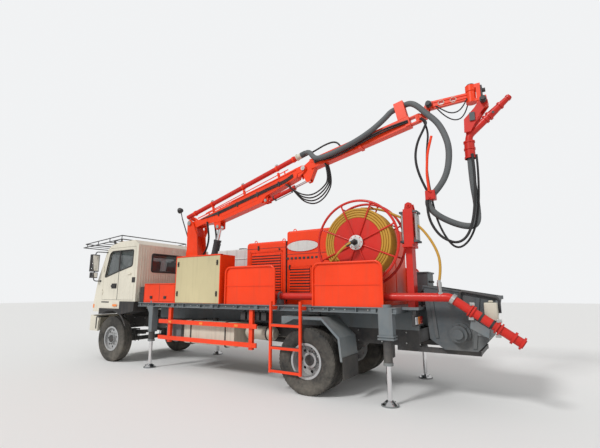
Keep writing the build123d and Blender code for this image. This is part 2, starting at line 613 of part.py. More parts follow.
def reel():
    y0, y1 = REEL_Y
    wheel = across(0, 0, REEL_DRUM_R - 5, (y0 + 12, y1 - 12)) - across(0, 0, REEL_DRUM_R - 17, (y0 + 24, y1 - 24))
    wheel -= across(0, 0, REEL_AXLE_R + 1, (y0 - 1, y1 + 1))
    for y in (y0, y1):
        ring = Plane(origin=(0, y, 0), z_dir=(0, 1, 0)) * Torus(REEL_RING_R, REEL_TUBE_R)
        wheel += ring
        hub = across(0, 0, 95, (y - 14, y + 14)) - across(0, 0, REEL_AXLE_R + 1, (y - 20, y + 20))
        wheel += hub
        for k in range(8):
            a = math.radians(22.5 + 45 * k)
            c, s = math.cos(a), math.sin(a)
            wheel += rod((85 * c, y, 85 * s), (REEL_RING_R * c, y, REEL_RING_R * s), 13)
    spot = Pos(REEL_X, 0, REEL_Z)
    node("hose_reel", spot * wheel)
    coil = across(0, 0, REEL_COIL_R, (y0 + 16, y1 - 16)) - across(0, 0, REEL_DRUM_R - 4.5, (y0, y1))
    node("hose_coil", spot * coil)
    stand = across(REEL_X, REEL_Z, REEL_AXLE_R, (y0 - 70, y1 + 40))
    stand += block((REEL_X - 60, REEL_X + 60), (y0 - 90, y0 - 60), (DECK_TOP, REEL_Z + 90))
    stand += block((-1640, -1540), (580, 780), (DECK_TOP, 2270))
    stand += block((-1680, -1530), (560, 900), (2250, 2290))
    tower = block((-1700, -1560), (640, 900), (2290, 2830)) - block((-1701, -1559), (690, 850), (2330, 2780))
    stand += tower
    node("reel_stand", stand)


def rear_end():
    top = [(-1720, 1660), (-2700, 1500), (-2560, 900), (-2420, 760), (-1980, 760), (-1780, 900)]
    inner = [(-1732, 1700), (-2686, 1540), (-2546, 906), (-2414, 772), (-1986, 772), (-1792, 906)]
    hopper = slab(top, (-560, 560)) - slab(inner, (-548, 548))
    node("pump_unit", hopper)
    bend, end = Vector(-2150, 870, 1510), Vector(-3000, 870, 930)
    line = bent_bar([(SLEW_X - PEDESTAL_R - SEAT, 0, 1436), (3200, 0, 1436), (3000, 380, 1436), (1895, 380, 1510),
                     (1895, 870, 1510), tuple(bend), tuple(end)], PIPE_R, [110, 110, 110, 110, 160])
    back = (bend - end).normalized()
    line += rod(end + back * PIPE_STUB, end + back * (PIPE_STUB + 30), PIPE_R + 24)
    node("delivery_pipe", line)


def pedestal():
    base = rod((SLEW_X, 0, DECK_TOP), (SLEW_X, 0, PEDESTAL_TOP), PEDESTAL_R)
    base += block((SLEW_X - 340, SLEW_X + 340), (-340, 340), (DECK_TOP, DECK_TOP + 15))
    return base


def turret():
    z0 = PEDESTAL_TOP + RING_GAP
    px, pz = BOOM_PIN
    bx, bz = LIFT_BASE
    body = rod((SLEW_X, 0, z0), (SLEW_X, 0, z0 + RING_H), 300)
    column = [(3540, z0 + RING_H), (SLEW_X + 280, z0 + RING_H), (4010, 2300), (4030, 2950), (3860, 2950),
              (3620, 2300)]
    body += slab(column, (-CHEEK_Y[1], CHEEK_Y[1]))
    cheek = [(3620, 2300), (4010, 2300), (4045, pz - 40), (3960, pz + 75), (3870, pz + 40), (3700, 2950)]
    for sign in (1, -1):
        body += slab(cheek, sorted((sign * CHEEK_Y[0], sign * CHEEK_Y[1])))
        y = sorted((sign * LIFT_EAR_Y[0], sign * LIFT_EAR_Y[1]))
        ear = slab([(bx - 70, bz - 50), (3560, z0 + RING_H - 30), (3640, 2000), (bx + 20, bz + 90),
                    (bx - 60, bz + 60)], y)
        body += ear
        body += across(px, pz, 80, sorted((sign * CHEEK_Y[0], sign * (CHEEK_Y[1] + 12))))
    body += across(px, pz, PIN_R, (-CHEEK_Y[1] - 20, CHEEK_Y[1] + 20))
    body += across(bx, bz, LIFT_PIN_R, (-LIFT_EAR_Y[1] - 15, LIFT_EAR_Y[1] + 15))
    riser = bent_bar([(4130, 0, z0 + 60), (4130, 0, 2600), (4130, -COUPLING_Y - 125, 2900),
                      (px, -COUPLING_Y - 125, pz), (px, -COUPLING_Y - PIN_GAP, pz)], LINE_R, [110, 110, 110])
    body += riser
    for z in (1800, 2400):
        body += block((3980, 4130), (-40, 40), (z, z + 60))
    node("turret", body)


def lower_boom():
    place = boom_place(BOOM_PIN, LOWER_ANGLE)
    w = LOWER_W / 2
    end = -LOWER_LEN
    side = [(75, 40), (-240, 5), (end + 160, 80), (end + 60, 75), (end + 215, -125), (-2330, -205),
            (-2180, -300), (-900, -280), (-120, -95), (60, -60)]
    arm = slab(side, (-w, w))
    fork = []
    for sign in (1, -1):
        y = sorted((sign * FORK_Y[0], sign * FORK_Y[1]))
        fork.append(slab([(end + 170, 78), (end + 10, 75), (end - 62, 30), (end - 62, -35), (end, -78),
                          (end + 160, -140)], y))
    arm += fork
    arm -= across(0, 0, PIN_R + PIN_GAP, (-w - 1, w + 1))
    arm += across(end, 0, FOLD_PIN_R, (-FORK_Y[1] - 15, FORK_Y[1] + 15))
    ls, lt = LIFT_EAR
    fs, ft = FOLD_BASE
    for sign in (1, -1):
        y = sorted((sign * LIFT_EAR_Y[0], sign * LIFT_EAR_Y[1]))
        arm += slab([(-ls - 110, -255), (-ls + 110, -240), (-ls + 60, lt - 55), (-ls - 60, lt - 55)], y)
        y = sorted((sign * FOLD_EAR_Y[0], sign * FOLD_EAR_Y[1]))
        arm += slab([(-fs - 60, -190), (-fs + 160, -290), (-fs + 50, ft - 42), (-fs - 40, ft - 42)], y)
    arm += across(-fs, ft, FOLD_CYL_PIN_R, (-FOLD_EAR_Y[1] - 12, FOLD_EAR_Y[1] + 12))
    for s in (700, 1700, 2700):
        arm += block((-s - 20, -s + 20), (-25, 25), (0, LINE_RISE[0] - 30))
    pipe = bent_bar([(0, -COUPLING_Y, 0), (0, 95 - COUPLING_Y, 0), (LINE_S[0], 95 - COUPLING_Y, LINE_RISE[0]),
                     (LINE_S[0], 0, LINE_RISE[0]), (-LINE_S[1], 0, LINE_RISE[1])], LINE_R, [85, 100, 100])
    for s in (100, 700, 1700, 2700, 3150):
        t = LINE_RISE[0] + (LINE_RISE[1] - LINE_RISE[0]) * (s - LINE_S[0] * -1) / (LINE_S[1] + LINE_S[0])
        pipe += rod((-s + 22, 0, t), (-s - 22, 0, t), LINE_R + 14)
    for y in (-70, 70):
        arm += rod((-500, y, 90), (-3000, y, 150), 10)
        for s in (600, 1750, 2900):
            arm += block((-s - 12, -s + 12), (y - 8, y + 8), (10, 100 + (s - 500) * 0.024))
    node("boom_lower", place * (arm + pipe))
    return place


def cylinder(name, base, tip, size):
    """A barrel hinged at base and its rod ending in an eye at tip, drawn in the truck's x-z plane."""
    barrel_r, rod_r, eye_r, eye_w, base_pin_r, tip_gap_r, dead, barrel_len, draw_in = size
    length = math.hypot(tip[0] - base[0], tip[1] - base[1])
    angle = math.degrees(math.atan2(tip[1] - base[1], tip[0] - base[0]))
    place = Pos(base[0], 0, base[1]) * Rot(0, -angle, 0)
    barrel = rod((dead, 0, 0), (barrel_len, 0, 0), barrel_r)
    barrel += rod((barrel_len - 50, 0, 0), (barrel_len, 0, 0), barrel_r + 8)
    barrel += across(0, 0, eye_r, (-eye_w, eye_w)) + block((0, dead + 5), (-eye_w, eye_w), (-eye_r * 0.7, eye_r * 0.7))
    barrel -= across(0, 0, base_pin_r + PIN_GAP, (-eye_w - 1, eye_w + 1))
    barrel -= rod((dead + 30, 0, 0), (barrel_len + 1, 0, 0), rod_r + ROD_GAP)
    shaft = rod((dead + 30 + draw_in, 0, 0), (length - eye_r * 0.8, 0, 0), rod_r)
    shaft += across(length, 0, eye_r, (-eye_w, eye_w)) - across(length, 0, tip_gap_r, (-eye_w - 1, eye_w + 1))
    node(f"{name}_barrel", place * barrel)
    node(f"{name}_rod", place * shaft)


def upper_boom():
    hinge = boom_point(BOOM_PIN, LOWER_ANGLE, LOWER_LEN, 0)
    place = boom_place(hinge, UPPER_ANGLE)
    w, h = UPPER_W / 2, UPPER_H / 2
    mid = UPPER_MID
    box_x = (-UPPER_LEN, -170)
    tube = block(box_x, (-w, w), (mid - h, mid + h))
    cx, ct = CRANK
    tongue = slab([(60, 45), (60, -60), (cx + 55, ct), (cx + 30, ct - 50), (cx - 45, ct - 50), (-250, mid - h),
                   (-360, mid - h), (-360, mid + h), (-200, mid + h), (-20, 70)], (-TONGUE_Y, TONGUE_Y))
    tube += tongue
    tube -= block((-UPPER_LEN - 1, -240), (-w + UPPER_WALL, w - UPPER_WALL),
                  (mid - h + UPPER_WALL, mid + h - UPPER_WALL))
    tube -= across(0, 0, FOLD_PIN_R + PIN_GAP, (-TONGUE_Y - 1, TONGUE_Y + 1))
    tube -= block((cx - CRANK_ROOM, cx + 120), (-CRANK_SLOT_Y, CRANK_SLOT_Y), (ct - 90, ct + CRANK_ROOM))
    tube += block((-UPPER_LEN, -UPPER_LEN + 60), (-w - 12, w + 12), (mid - h - 12, mid + h + 12)) - block(
        (-UPPER_LEN - 1, -UPPER_LEN + 61), (-w, w), (mid - h, mid + h))
    node("boom_upper", place * tube)
    gap = UPPER_WALL + SLIDE_GAP
    iw, ih = w - gap, h - gap
    inner = block((-SLIDE_END, -SLIDE_START), (-iw, iw), (mid - ih, mid + ih))
    inner -= block((-SLIDE_END + 25, -SLIDE_START + 1), (-iw + 8, iw - 8), (mid - ih + 8, mid + ih - 8))
    tx = -SLIDE_END
    inner += block((tx + 20, tx + 200), (-22, 22), (mid + ih, mid + ih + 330))
    inner += rod((tx + 15, 0, mid + ih + 270), (tx + 205, 0, mid + ih + 270), HOSE_R + 16) - rod(
        (tx + 14, 0, mid + ih + 270), (tx + 206, 0, mid + ih + 270), HOSE_R + 1)
    for z in (mid - 75, mid + 50):
        inner += block((tx - 150, tx), (-50, 50), (z, z + 25)) + rod((tx - 150, 0, z), (tx - 150, 0, z + 25), 50)
    inner += rod((tx - 150, 0, mid - 85), (tx - 150, 0, mid + 85), WRIST_PIN_R)
    node("boom_slide", place * inner)
    wrist = boom_point(hinge, UPPER_ANGLE, SLIDE_END + 150, mid)
    return wrist


def spray_gear(wrist):
    wx, wz = wrist
    place = boom_place(wrist, UPPER_ANGLE)
    knuckle = block((-130, 48), (-48, 48), (-49, 49)) + rod((0, 0, -49), (0, 0, 49), 52)
    knuckle -= rod((0, 0, -60), (0, 0, 60), WRIST_PIN_R + PIN_GAP)
    knuckle = place * knuckle
    tx, tz = TIP_PIN
    post = slab([(wx - 62, wz - 30), (wx - 140, wz - 50), (tx - 45, tz + 60), (tx + 50, tz + 75), (wx - 52, wz + 70)],
                (-45, 45))
    for sign in (1, -1):
        post += slab([(tx - 55, tz - 60), (tx - 55, tz + 60), (tx + 50, tz + 60), (tx + 50, tz - 60)],
                     sorted((sign * 45, sign * 62)))
    slot = slab([(tx - 120, tz - 100), (tx + 72, tz - 100), (tx + 72, tz + 100), (tx - 120, tz + 100)], (-38, 38))
    post = post - slot
    post += across(tx, tz, TIP_PIN_R, (-70, 70))
    node("boom_wrist", knuckle + post)
    ex, ez = HEAD_AXIS_X, TIP_PIN[1]
    arm = slab([(tx + 50, tz - 40), (tx + 50, tz + 40), (tx - 60, tz + 72), (ex + 60, ez + 62), (ex - 45, ez + 45),
                (ex - 45, ez - 45), (ex + 60, ez - 60), (tx - 60, tz - 72)], (-33, 33))
    arm -= across(tx, tz, TIP_PIN_R + PIN_GAP, (-34, 34))
    for x in (tx - 200, tx - 400):
        arm -= across(x, tz, 42, (-34, 34))
    arm += rod((ex, 0, ez - 70), (ex, 0, ez + 70), 75)
    arm += rod((ex, 0, ez - 105), (ex, 0, ez + 105), HEAD_PIN_R)
    node("tip_arm", arm)
    head = rod((ex, 0, ez + 71), (ex, 0, ez + 175), 85) + rod((ex, 0, ez - 130), (ex, 0, ez - 71), 85)
    head += block((ex - 150, ex - 85), (-60, 60), (ez - 130, ez + 175)) + block((ex - 100, ex), (-60, 60), (ez + 110, ez + 175))
    head += block((ex - 100, ex), (-60, 60), (ez - 130, ez - 90))
    head -= rod((ex, 0, ez - 110), (ex, 0, ez + 110), HEAD_PIN_R + PIN_GAP)
    nx, nz = NOZZLE_PIN
    head += block((nx - 45, ex - 85), (-50, 50), (nz - 60, ez - 60))
    head += across(nx, nz, 62, (-75, 75)) + across(nx, nz, NOZZLE_PIN_R, (-120, 120))
    node("spray_head", head)
    node("nozzle", nozzle(nx, nz))


def nozzle(nx, nz):
    body = Part()
    for sign in (1, -1):
        y = sorted((sign * 80, sign * 102))
        plate = slab([(nx + 50, nz + 45), (nx - 50, nz + 45), (nx - 60, nz - 40), (nx + 60, nz - 190),
                      (SLEEVE_X - 50, nz - 480), (SLEEVE_X + 50, nz - 480), (SLEEVE_X + 40, nz - 250),
                      (nx + 150, nz - 90)], y)
        plate -= across(nx, nz, NOZZLE_PIN_R + PIN_GAP, (y[0] - 1, y[1] + 1))
        body += plate
    tip = Vector(NOZZLE_TIP[0], 0, NOZZLE_TIP[1])
    corner = Vector(SLEEVE_X, 0, 4145)
    aim = (tip - corner).normalized()
    base = tip - aim * 420
    body += rod((SLEEVE_X, 0, SLEEVE_Z[0]), (SLEEVE_X, 0, SLEEVE_Z[1]), 80)
    body += bent_bar([(SLEEVE_X, 0, SLEEVE_Z[1] - 10), tuple(corner), tuple(base)], 58, 150)
    cone = Plane(origin=base, z_dir=aim) * Cone(66, 40, 420, align=(Align.CENTER, Align.CENTER, Align.MIN))
    body += cone
    body -= Plane(origin=tip, z_dir=-aim) * Cylinder(NOZZLE_BORE_R, 150, align=(Align.CENTER, Align.CENTER, Align.MIN))
    body += block((SLEEVE_X - 30, SLEEVE_X + 30), (-102, 102), (nz - 480, nz - 440))
    return body


def hoses():
    hinge = boom_point(BOOM_PIN, LOWER_ANGLE, LOWER_LEN, 0)
    ring = UPPER_MID + UPPER_H / 2 - UPPER_WALL - SLIDE_GAP + 270
    start = boom_point(BOOM_PIN, LOWER_ANGLE, LINE_S[1] + 200, LINE_RISE[1] + 6)
    ends = [boom_point(hinge, UPPER_ANGLE, s, t) for s, t in
            ((250, 300), (700, 240), (1250, 245), (1750, 300), (SLIDE_END - 260, ring), (SLIDE_END - 205, ring))]
    route = [(x, 0, z) for x, z in [start] + ends]
    node("boom_hose", hose(route, HOSE_R))
    a = [boom_point(hinge, UPPER_ANGLE, s, ring) for s in (SLIDE_END - 15, SLIDE_END + 60)]
    drop = [(-1990, 330, 4560), (-2110, 380, 4200), (-2010, 330, 3800), (-1880, 250, 3480),
            (-1960, 190, 3150), (-2230, 110, 3000), (-2450, 30, 3230), (SLEEVE_X, 0, 3520), (SLEEVE_X, 0, SLEEVE_Z[0])]
    route = [(x, 0, z) for x, z in a] + drop
    node("nozzle_hose", hose(route, HOSE_R))
    y = (REEL_Y[0] + REEL_Y[1]) / 2
    top = REEL_Z + REEL_COIL_R + YELLOW_R + SEAT
    route = [(REEL_X - 20, y, top), (REEL_X - 330, y, top - 25), (-1470, y + 20, 2740), (-1760, y + 30, 2600),
             (-1990, y + 40, 2250), (-2060, y + 50, 1950), (-2020, 870, 1720)]
    node("lead_hose", hose(route, YELLOW_R))


def hose(route, r):
    """A hose along straight runs with each arc as large as its two runs allow."""
    pts = [Vector(*p) for p in route]
    radii = []
    for a, b, c in zip(pts, pts[1:], pts[2:]):
        turn = math.radians((b - a).get_angle(c - b))
        radii.append(0.45 * min((b - a).length, (c - b).length) / math.tan(turn / 2))
    print("arc radii over hose radius:", [round(v / r, 1) for v in radii])
    return bent_bar(route, r, radii)


def main():
    os.makedirs("parts", exist_ok=True)
    wheels()
    axles()
    frame()
    deck()
    bumper()
    cab()
    deck_gear()
    hoods()
    reel()
    rear_end()
    turret()
    lower_boom()
    ear = boom_point(BOOM_PIN, LOWER_ANGLE, *LIFT_EAR)
    cylinder("lift", LIFT_BASE, ear, (82, 45, 58, 60, LIFT_PIN_R, 36, 130, 1130, 250))
    hinge = boom_point(BOOM_PIN, LOWER_ANGLE, LOWER_LEN, 0)
    base = boom_point(BOOM_PIN, LOWER_ANGLE, *FOLD_BASE)
    crank = boom_point(hinge, UPPER_ANGLE, -CRANK[0], CRANK[1])
    cylinder("fold", base, crank, (46, 25, 36, 42, FOLD_CYL_PIN_R, 22, 90, 740, 190))
    wrist = upper_boom()
    spray_gear(wrist)
    hoses()
    hoses_out = [s for name, solids in NODES.items() if not name.endswith("_hose") for s in solids]
    box = Compound(children=hoses_out).bounding_box()
    middle = (box.min.X + box.max.X) / 2
    print("middle of the length:", middle, "across:", (box.min.Y + box.max.Y) / 2)
    shift = Pos(-middle, 0, 0)
    for name, solids in NODES.items():
        export_step(Compound(children=[shift * s for s in solids]), f"parts/{name}.step")


main()
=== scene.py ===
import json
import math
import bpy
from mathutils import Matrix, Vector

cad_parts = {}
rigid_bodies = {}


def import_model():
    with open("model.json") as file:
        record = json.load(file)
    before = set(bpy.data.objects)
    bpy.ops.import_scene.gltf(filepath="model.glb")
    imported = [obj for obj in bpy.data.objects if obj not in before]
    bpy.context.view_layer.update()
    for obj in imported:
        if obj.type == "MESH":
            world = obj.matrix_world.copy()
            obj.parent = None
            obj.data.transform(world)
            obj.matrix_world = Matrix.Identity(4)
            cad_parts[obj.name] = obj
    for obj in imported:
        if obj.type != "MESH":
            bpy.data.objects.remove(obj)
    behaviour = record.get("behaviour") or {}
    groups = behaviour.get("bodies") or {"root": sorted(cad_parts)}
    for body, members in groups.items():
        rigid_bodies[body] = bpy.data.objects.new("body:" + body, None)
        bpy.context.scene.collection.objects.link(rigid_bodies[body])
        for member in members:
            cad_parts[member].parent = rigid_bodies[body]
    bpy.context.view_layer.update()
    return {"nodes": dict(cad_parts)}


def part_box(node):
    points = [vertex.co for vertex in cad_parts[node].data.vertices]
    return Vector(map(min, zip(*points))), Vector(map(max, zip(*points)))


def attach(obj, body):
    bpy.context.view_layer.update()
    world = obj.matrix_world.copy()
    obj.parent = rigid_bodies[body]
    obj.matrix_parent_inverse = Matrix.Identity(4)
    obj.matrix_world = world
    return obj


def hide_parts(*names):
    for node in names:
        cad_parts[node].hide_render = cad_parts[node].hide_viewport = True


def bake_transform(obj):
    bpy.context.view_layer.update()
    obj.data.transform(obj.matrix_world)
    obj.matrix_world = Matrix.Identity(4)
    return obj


bl_info = {
    "name": "Concrete spraying rig",
    "version": (1, 0, 0),
    "blender": (4, 5, 0),
    "location": "View3D > Sidebar > Spraying rig",
    "description": "Dresses the spraying rig's frame with its finishes, tyres, hoses, lamps and fittings",
    "category": "Object",
}

import bmesh
import bpy
import numpy as np
from bpy.props import FloatProperty, FloatVectorProperty, IntProperty, PointerProperty
from mathutils import Matrix, Vector

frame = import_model()

# The truck's own measure runs forward from the rear axle, so its zero is the rear tyres' middle
TYRE_LOW, TYRE_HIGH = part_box("rear_tyres_left")
AXLE_X = (TYRE_LOW.x + TYRE_HIGH.x) / 2
TYRE_R = (TYRE_HIGH.z - TYRE_LOW.z) / 2
WHEELBASE = 5.4

# Camera solved from the photograph: angles in radians, place in the truck's measure, lens in mm
CAMERA_YAW, CAMERA_PITCH = 0.552631773, 0.179443494
CAMERA_PLACE = (-3.171, 6.506, 1.583)
CAMERA_SENSOR, CAMERA_LENS = 36.0, 22.5
# Suns: name, strength, direction and angular size in degrees
SUNS = [("key_light", 1.9, (-0.25, -0.75, -0.62), 12), ("fill_light", 0.35, (0.75, -0.35, -0.55), 40)]
ROOM_LIGHT, ROOM_STRENGTH = (0.98, 0.98, 0.98), 0.55
BACKDROP = (0.88, 0.89, 0.9)
FLOOR_HALF = 60.0

# Cab: its rear wall, its door's face and the outline of the door's window in x and z
REAR_WALL_X = 4.55
CAB_SIDE_Y = 1.1
WINDOW = [(5.79, 1.935), (5.64, 2.5), (5.56, 2.56), (4.73, 2.56), (4.74, 2.19), (5.3, 2.06)]
# Jacks: front and rear x, and y of the left ones
JACK_XS, JACK_Y = (3.98, -1.285), 1.03
# Hoods' left side
HOOD_Y = 0.497
# Reel: its middle, the y of its two rings and the angle of its first spoke in degrees
REEL = (-0.8, 0.765, 2.365)
REEL_RINGS, SPOKE_START = (0.6, 0.93), 22.5
# Delivery pipe's last run, from the bend to the open end, the hopper's sloping rim and the agitator's axis
PIPE_BEND, PIPE_END = np.array((-2.15, 0.87, 1.51)), np.array((-3.0, 0.87, 0.93))
HOPPER_RIM = [(-1.72, 1.66), (-2.7, 1.5)]
AGITATOR = (-2.2, 1.0)
# Boom: pins as x and z, rise of each boom in degrees, and the lower boom's length between pins
SLEW_X = 3.72
BOOM_PIN, LIFT_BASE = (3.96, 3.26), (3.4, 1.7)
LOWER_ANGLE, UPPER_ANGLE, LOWER_LENGTH = 14.8, 12.2, 3.371
TIP_PIN, NOZZLE_PIN = (-1.88, 4.845), (-2.745, 4.665)
NOZZLE_TIP, SLEEVE_X = np.array((-3.12, 0, 4.685)), -2.47
# Concrete line on the lower boom: where it starts along the boom, its height there and its rise a metre
LINE_START, LINE_LOW, LINE_SLOPE = -0.19, 0.25, 0.097 / 3.426
# Height of the hose's ring above the upper boom's pin line
RING_HEIGHT = 0.3964


class RigSizes(bpy.types.PropertyGroup):
    """Sizes and colours that change the rig's look."""

    tread_depth: FloatProperty(
        name="Tread depth", description="Depth of the tyre grooves", default=0.012, unit="LENGTH"
    )
    tread_blocks: IntProperty(name="Tread blocks", description="Lugs round each tyre", default=54)
    hose_radius: FloatProperty(name="Concrete hose radius", description="Outer radius of the grey hoses",
        default=0.052, unit="LENGTH")
    yellow_radius: FloatProperty(name="Reel hose radius", description="Outer radius of the hose on the reel",
        default=0.019, unit="LENGTH")
    orange: FloatVectorProperty(name="Orange", description="Paint of boom, hoods and lockers",
        default=(0.86, 0.048, 0.004), subtype="COLOR")
    red: FloatVectorProperty(
        name="Red", description="Paint of pipes and reel", default=(0.58, 0.016, 0.008), subtype="COLOR"
    )
    cream: FloatVectorProperty(
        name="Cream", description="Paint of the cab", default=(0.7, 0.66, 0.55), subtype="COLOR"
    )
    floor: FloatVectorProperty(
        name="Floor", description="Colour of the studio floor", default=(0.8, 0.8, 0.79), subtype="COLOR"
    )


def sizes():
    """The sizes and colours a user may change."""
    return bpy.context.scene.rig_sizes


def at(points):
    """Truck measure in metres to the frame: each x moves by the rear axle's place."""
    out = np.array(points, float)
    out[..., 0] += AXLE_X
    return out


def unit(v):
    """Each vector divided by its length."""
    return v / np.maximum(np.linalg.norm(v, axis=-1, keepdims=True), 1e-12)


# Meshes


def make_mesh(name, verts, faces, material, body, smooth=True, bevel=0.0):
    """A mesh object of one material that rides on a body; bevel is how far its edges are rounded."""
    mesh = bpy.data.meshes.new(name)
    mesh.from_pydata(np.asarray(verts, float).reshape(-1, 3).tolist(), [], faces)
    mesh.materials.append(material)
    mesh.update()
    obj = bpy.data.objects.new(name, mesh)
    bpy.context.scene.collection.objects.link(obj)
    mesh.polygons.foreach_set("use_smooth", np.full(len(mesh.polygons), smooth))
    if bevel:
        mod = obj.modifiers.new("edge", "BEVEL")
        mod.width = bevel
        mod.segments = 2
        mod.limit_method = "ANGLE"
        mod.harden_normals = True
        mesh.polygons.foreach_set("use_smooth", np.full(len(mesh.polygons), True))
    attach(obj, body)
    return obj


def grid_faces(nu, nv, close_u, close_v):
    """Quads over a grid: index (i, j) joined to its right and upper neighbours, wrapped where closed."""
    i, j = np.meshgrid(np.arange(nu if close_u else nu - 1), np.arange(nv if close_v else nv - 1),
        indexing="ij")
    i2, j2 = (i + 1) % nu, (j + 1) % nv
    quads = np.stack([i * nv + j, i2 * nv + j, i2 * nv + j2, i * nv + j2], axis=-1)
    return quads.reshape(-1, 4)


def tube_data(path, radius, sides=16, closed=False, ref=None):
    """A circle carried along a path: each point gets a ring of radius r in the plane across it."""
    path = np.asarray(path, float)
    step = np.roll(path, -1, 0) - np.roll(path, 1, 0) if closed else np.gradient(path, axis=0)
    tangent = unit(step)
    if ref is None:
        spread = np.abs(tangent).max(0)
        ref = np.eye(3)[int(np.argmin(spread))]
    side = unit(np.cross(tangent, np.asarray(ref, float)))
    top = np.cross(side, tangent)
    angle = np.arange(sides) * 2 * math.pi / sides
    radius = np.broadcast_to(np.asarray(radius, float), (len(path),))
    ring = np.cos(angle)[None, :, None] * side[:, None] + np.sin(angle)[None, :, None] * top[:, None]
    verts = path[:, None] + ring * radius[:, None, None]
    faces = grid_faces(len(path), sides, closed, True)[:, ::-1].tolist()
    if not closed:
        last = (len(path) - 1) * sides
        faces.append(list(range(sides)))
        faces.append([last + k for k in reversed(range(sides))])
    return verts.reshape(-1, 3), faces


def join_data(parts):
    """Several (verts, faces) as one."""
    verts, faces, base = [], [], 0
    for v, f in parts:
        verts.append(np.asarray(v, float).reshape(-1, 3))
        faces += [[base + k for k in face] for face in f]
        base += len(verts[-1])
    return np.concatenate(verts), faces


def block_data(lo, hi):
    """A box from its low and high corners in the truck measure."""
    lo, hi = at([lo, hi])
    corner = np.array([[0, 0, 0], [1, 0, 0], [1, 1, 0], [0, 1, 0], [0, 0, 1], [1, 0, 1], [1, 1, 1],
        [0, 1, 1]])
    faces = [[0, 3, 2, 1], [4, 5, 6, 7], [0, 1, 5, 4], [1, 2, 6, 5], [2, 3, 7, 6], [3, 0, 4, 7]]
    return lo + corner * (hi - lo), faces


def slab_data(points, y0, y1):
    """An outline in the x-z plane carried across from y0 to y1, in the truck measure."""
    pts = np.array(points, float)
    area = np.sum(pts[:, 0] * np.roll(pts[:, 1], -1) - np.roll(pts[:, 0], -1) * pts[:, 1])
    if area > 0:
        pts = pts[::-1]
    n = len(pts)
    near = np.column_stack([pts[:, 0], np.full(n, min(y0, y1)), pts[:, 1]])
    far = np.column_stack([pts[:, 0], np.full(n, max(y0, y1)), pts[:, 1]])
    k = np.arange(n)
    k2 = (k + 1) % n
    faces = [list(reversed(range(n))),
        list(range(n, 2 * n))] + np.column_stack([k, k2, k2 + n, k + n]).tolist()
    return at(np.concatenate([near, far])), faces


def rod_data(p, q, r, sides=20):
    """A round bar from p to q in the truck measure."""
    return tube_data(at([p, q]), r, sides)


def pin_data(x, z, y0, y1, r, sides=20):
    """A round bar across the truck, from y0 to y1."""
    return rod_data((x, y0, z), (x, y1, z), r, sides)


def post_data(x, y, z0, z1, r, sides=20):
    """An upright round bar, from z0 to z1."""
    return rod_data((x, y, z0), (x, y, z1), r, sides)


def turned_data(profile, centre, axis="y", sides=48):
    """A profile of (radius, offset) points turned round an axis through centre."""
    prof = np.array(profile, float)
    angle = np.arange(sides) * 2 * math.pi / sides
    a, b, c = {"y": (0, 2, 1), "x": (1, 2, 0), "z": (0, 1, 2)}[axis]
    verts = np.zeros((sides, len(prof), 3))
    verts[..., a] = np.cos(angle)[:, None] * prof[None, :, 0]
    verts[..., b] = np.sin(angle)[:, None] * prof[None, :, 0]
    verts[..., c] = prof[None, :, 1]
    verts += at([centre])[0]
    faces = grid_faces(sides, len(prof), True, True).tolist()
    return verts.reshape(-1, 3), faces


def outward(obj):
    """Turns every face of a finished closed mesh outwards, after its doubles are merged."""
    bm = bmesh.new()
    bm.from_mesh(obj.data)
    bmesh.ops.remove_doubles(bm, verts=bm.verts, dist=1e-6)
    bmesh.ops.recalc_face_normals(bm, faces=bm.faces)
    bm.to_mesh(obj.data)
    bm.free()
    return obj


def piece(name, parts, material, body, bevel=0.0, smooth=False):
    """One object of several closed forms, flat-sided unless it is smooth."""
    verts, faces = join_data(parts)
    return outward(make_mesh(name, verts, faces, material, body, smooth=smooth, bevel=bevel))


def round_piece(name, parts, material, body):
    """Bars and turned pieces: smooth sides with the sharp rims kept by angle."""
    obj = piece(name, parts, material, body, smooth=True)
    obj.data.set_sharp_from_angle(angle=math.radians(35))
    return obj


def rounded_path(points, bend, steps=7):
    """A path of straight runs whose corners are quadratic arcs, from bend before to bend after."""
    pts = np.array(points, float)
    t = np.linspace(0, 1, steps)[:, None]
    out = [pts[:1]]
    for a, b, c in zip(pts, pts[1:], pts[2:]):
        p = b + unit(a - b) * min(bend, np.linalg.norm(a - b) * 0.48)
        q = b + unit(c - b) * min(bend, np.linalg.norm(c - b) * 0.48)
        out.append((1 - t) ** 2 * p + 2 * t * (1 - t) * b + t**2 * q)
    out.append(pts[-1:])
    return np.concatenate(out)


def pipe_data(points, r, bend=0.06, sides=14):
    """A bent pipe in the truck measure."""
    return tube_data(at(rounded_path(points, bend)), r, sides)


def loop_data(points, r, bend=0.05, sides=8):
    """A closed rubber seal or ring frame along straight runs with rounded corners."""
    pts = np.array(points, float)
    middle = (pts[-1:] + pts[:1]) / 2
    path = rounded_path(np.concatenate([middle, pts, middle]), bend)[:-1]
    return tube_data(at(path), r, sides, closed=True)


def ring_data(centre, big, small, around=64, sides=10):
    """A torus about a y axis through centre."""
    a = np.arange(around) * 2 * math.pi / around
    path = np.stack([centre[0] + big * np.cos(a), np.full(around, centre[1]), centre[2] + big * np.sin(a)],
        axis=-1)
    return tube_data(at(path), small, sides, closed=True, ref=(0, 1, 0))


SHAPES = {"box": block_data, "plate": slab_data, "bar": rod_data, "pin": pin_data, "post": post_data,
          "pipe": pipe_data, "loop": loop_data, "ring": ring_data, "turned": turned_data}


def sleeve(inner, outer, low, high):
    """The section of a plain ring, for turning: two radii and two offsets."""
    return [(inner, low), (outer, low), (outer, high), (inner, high)]


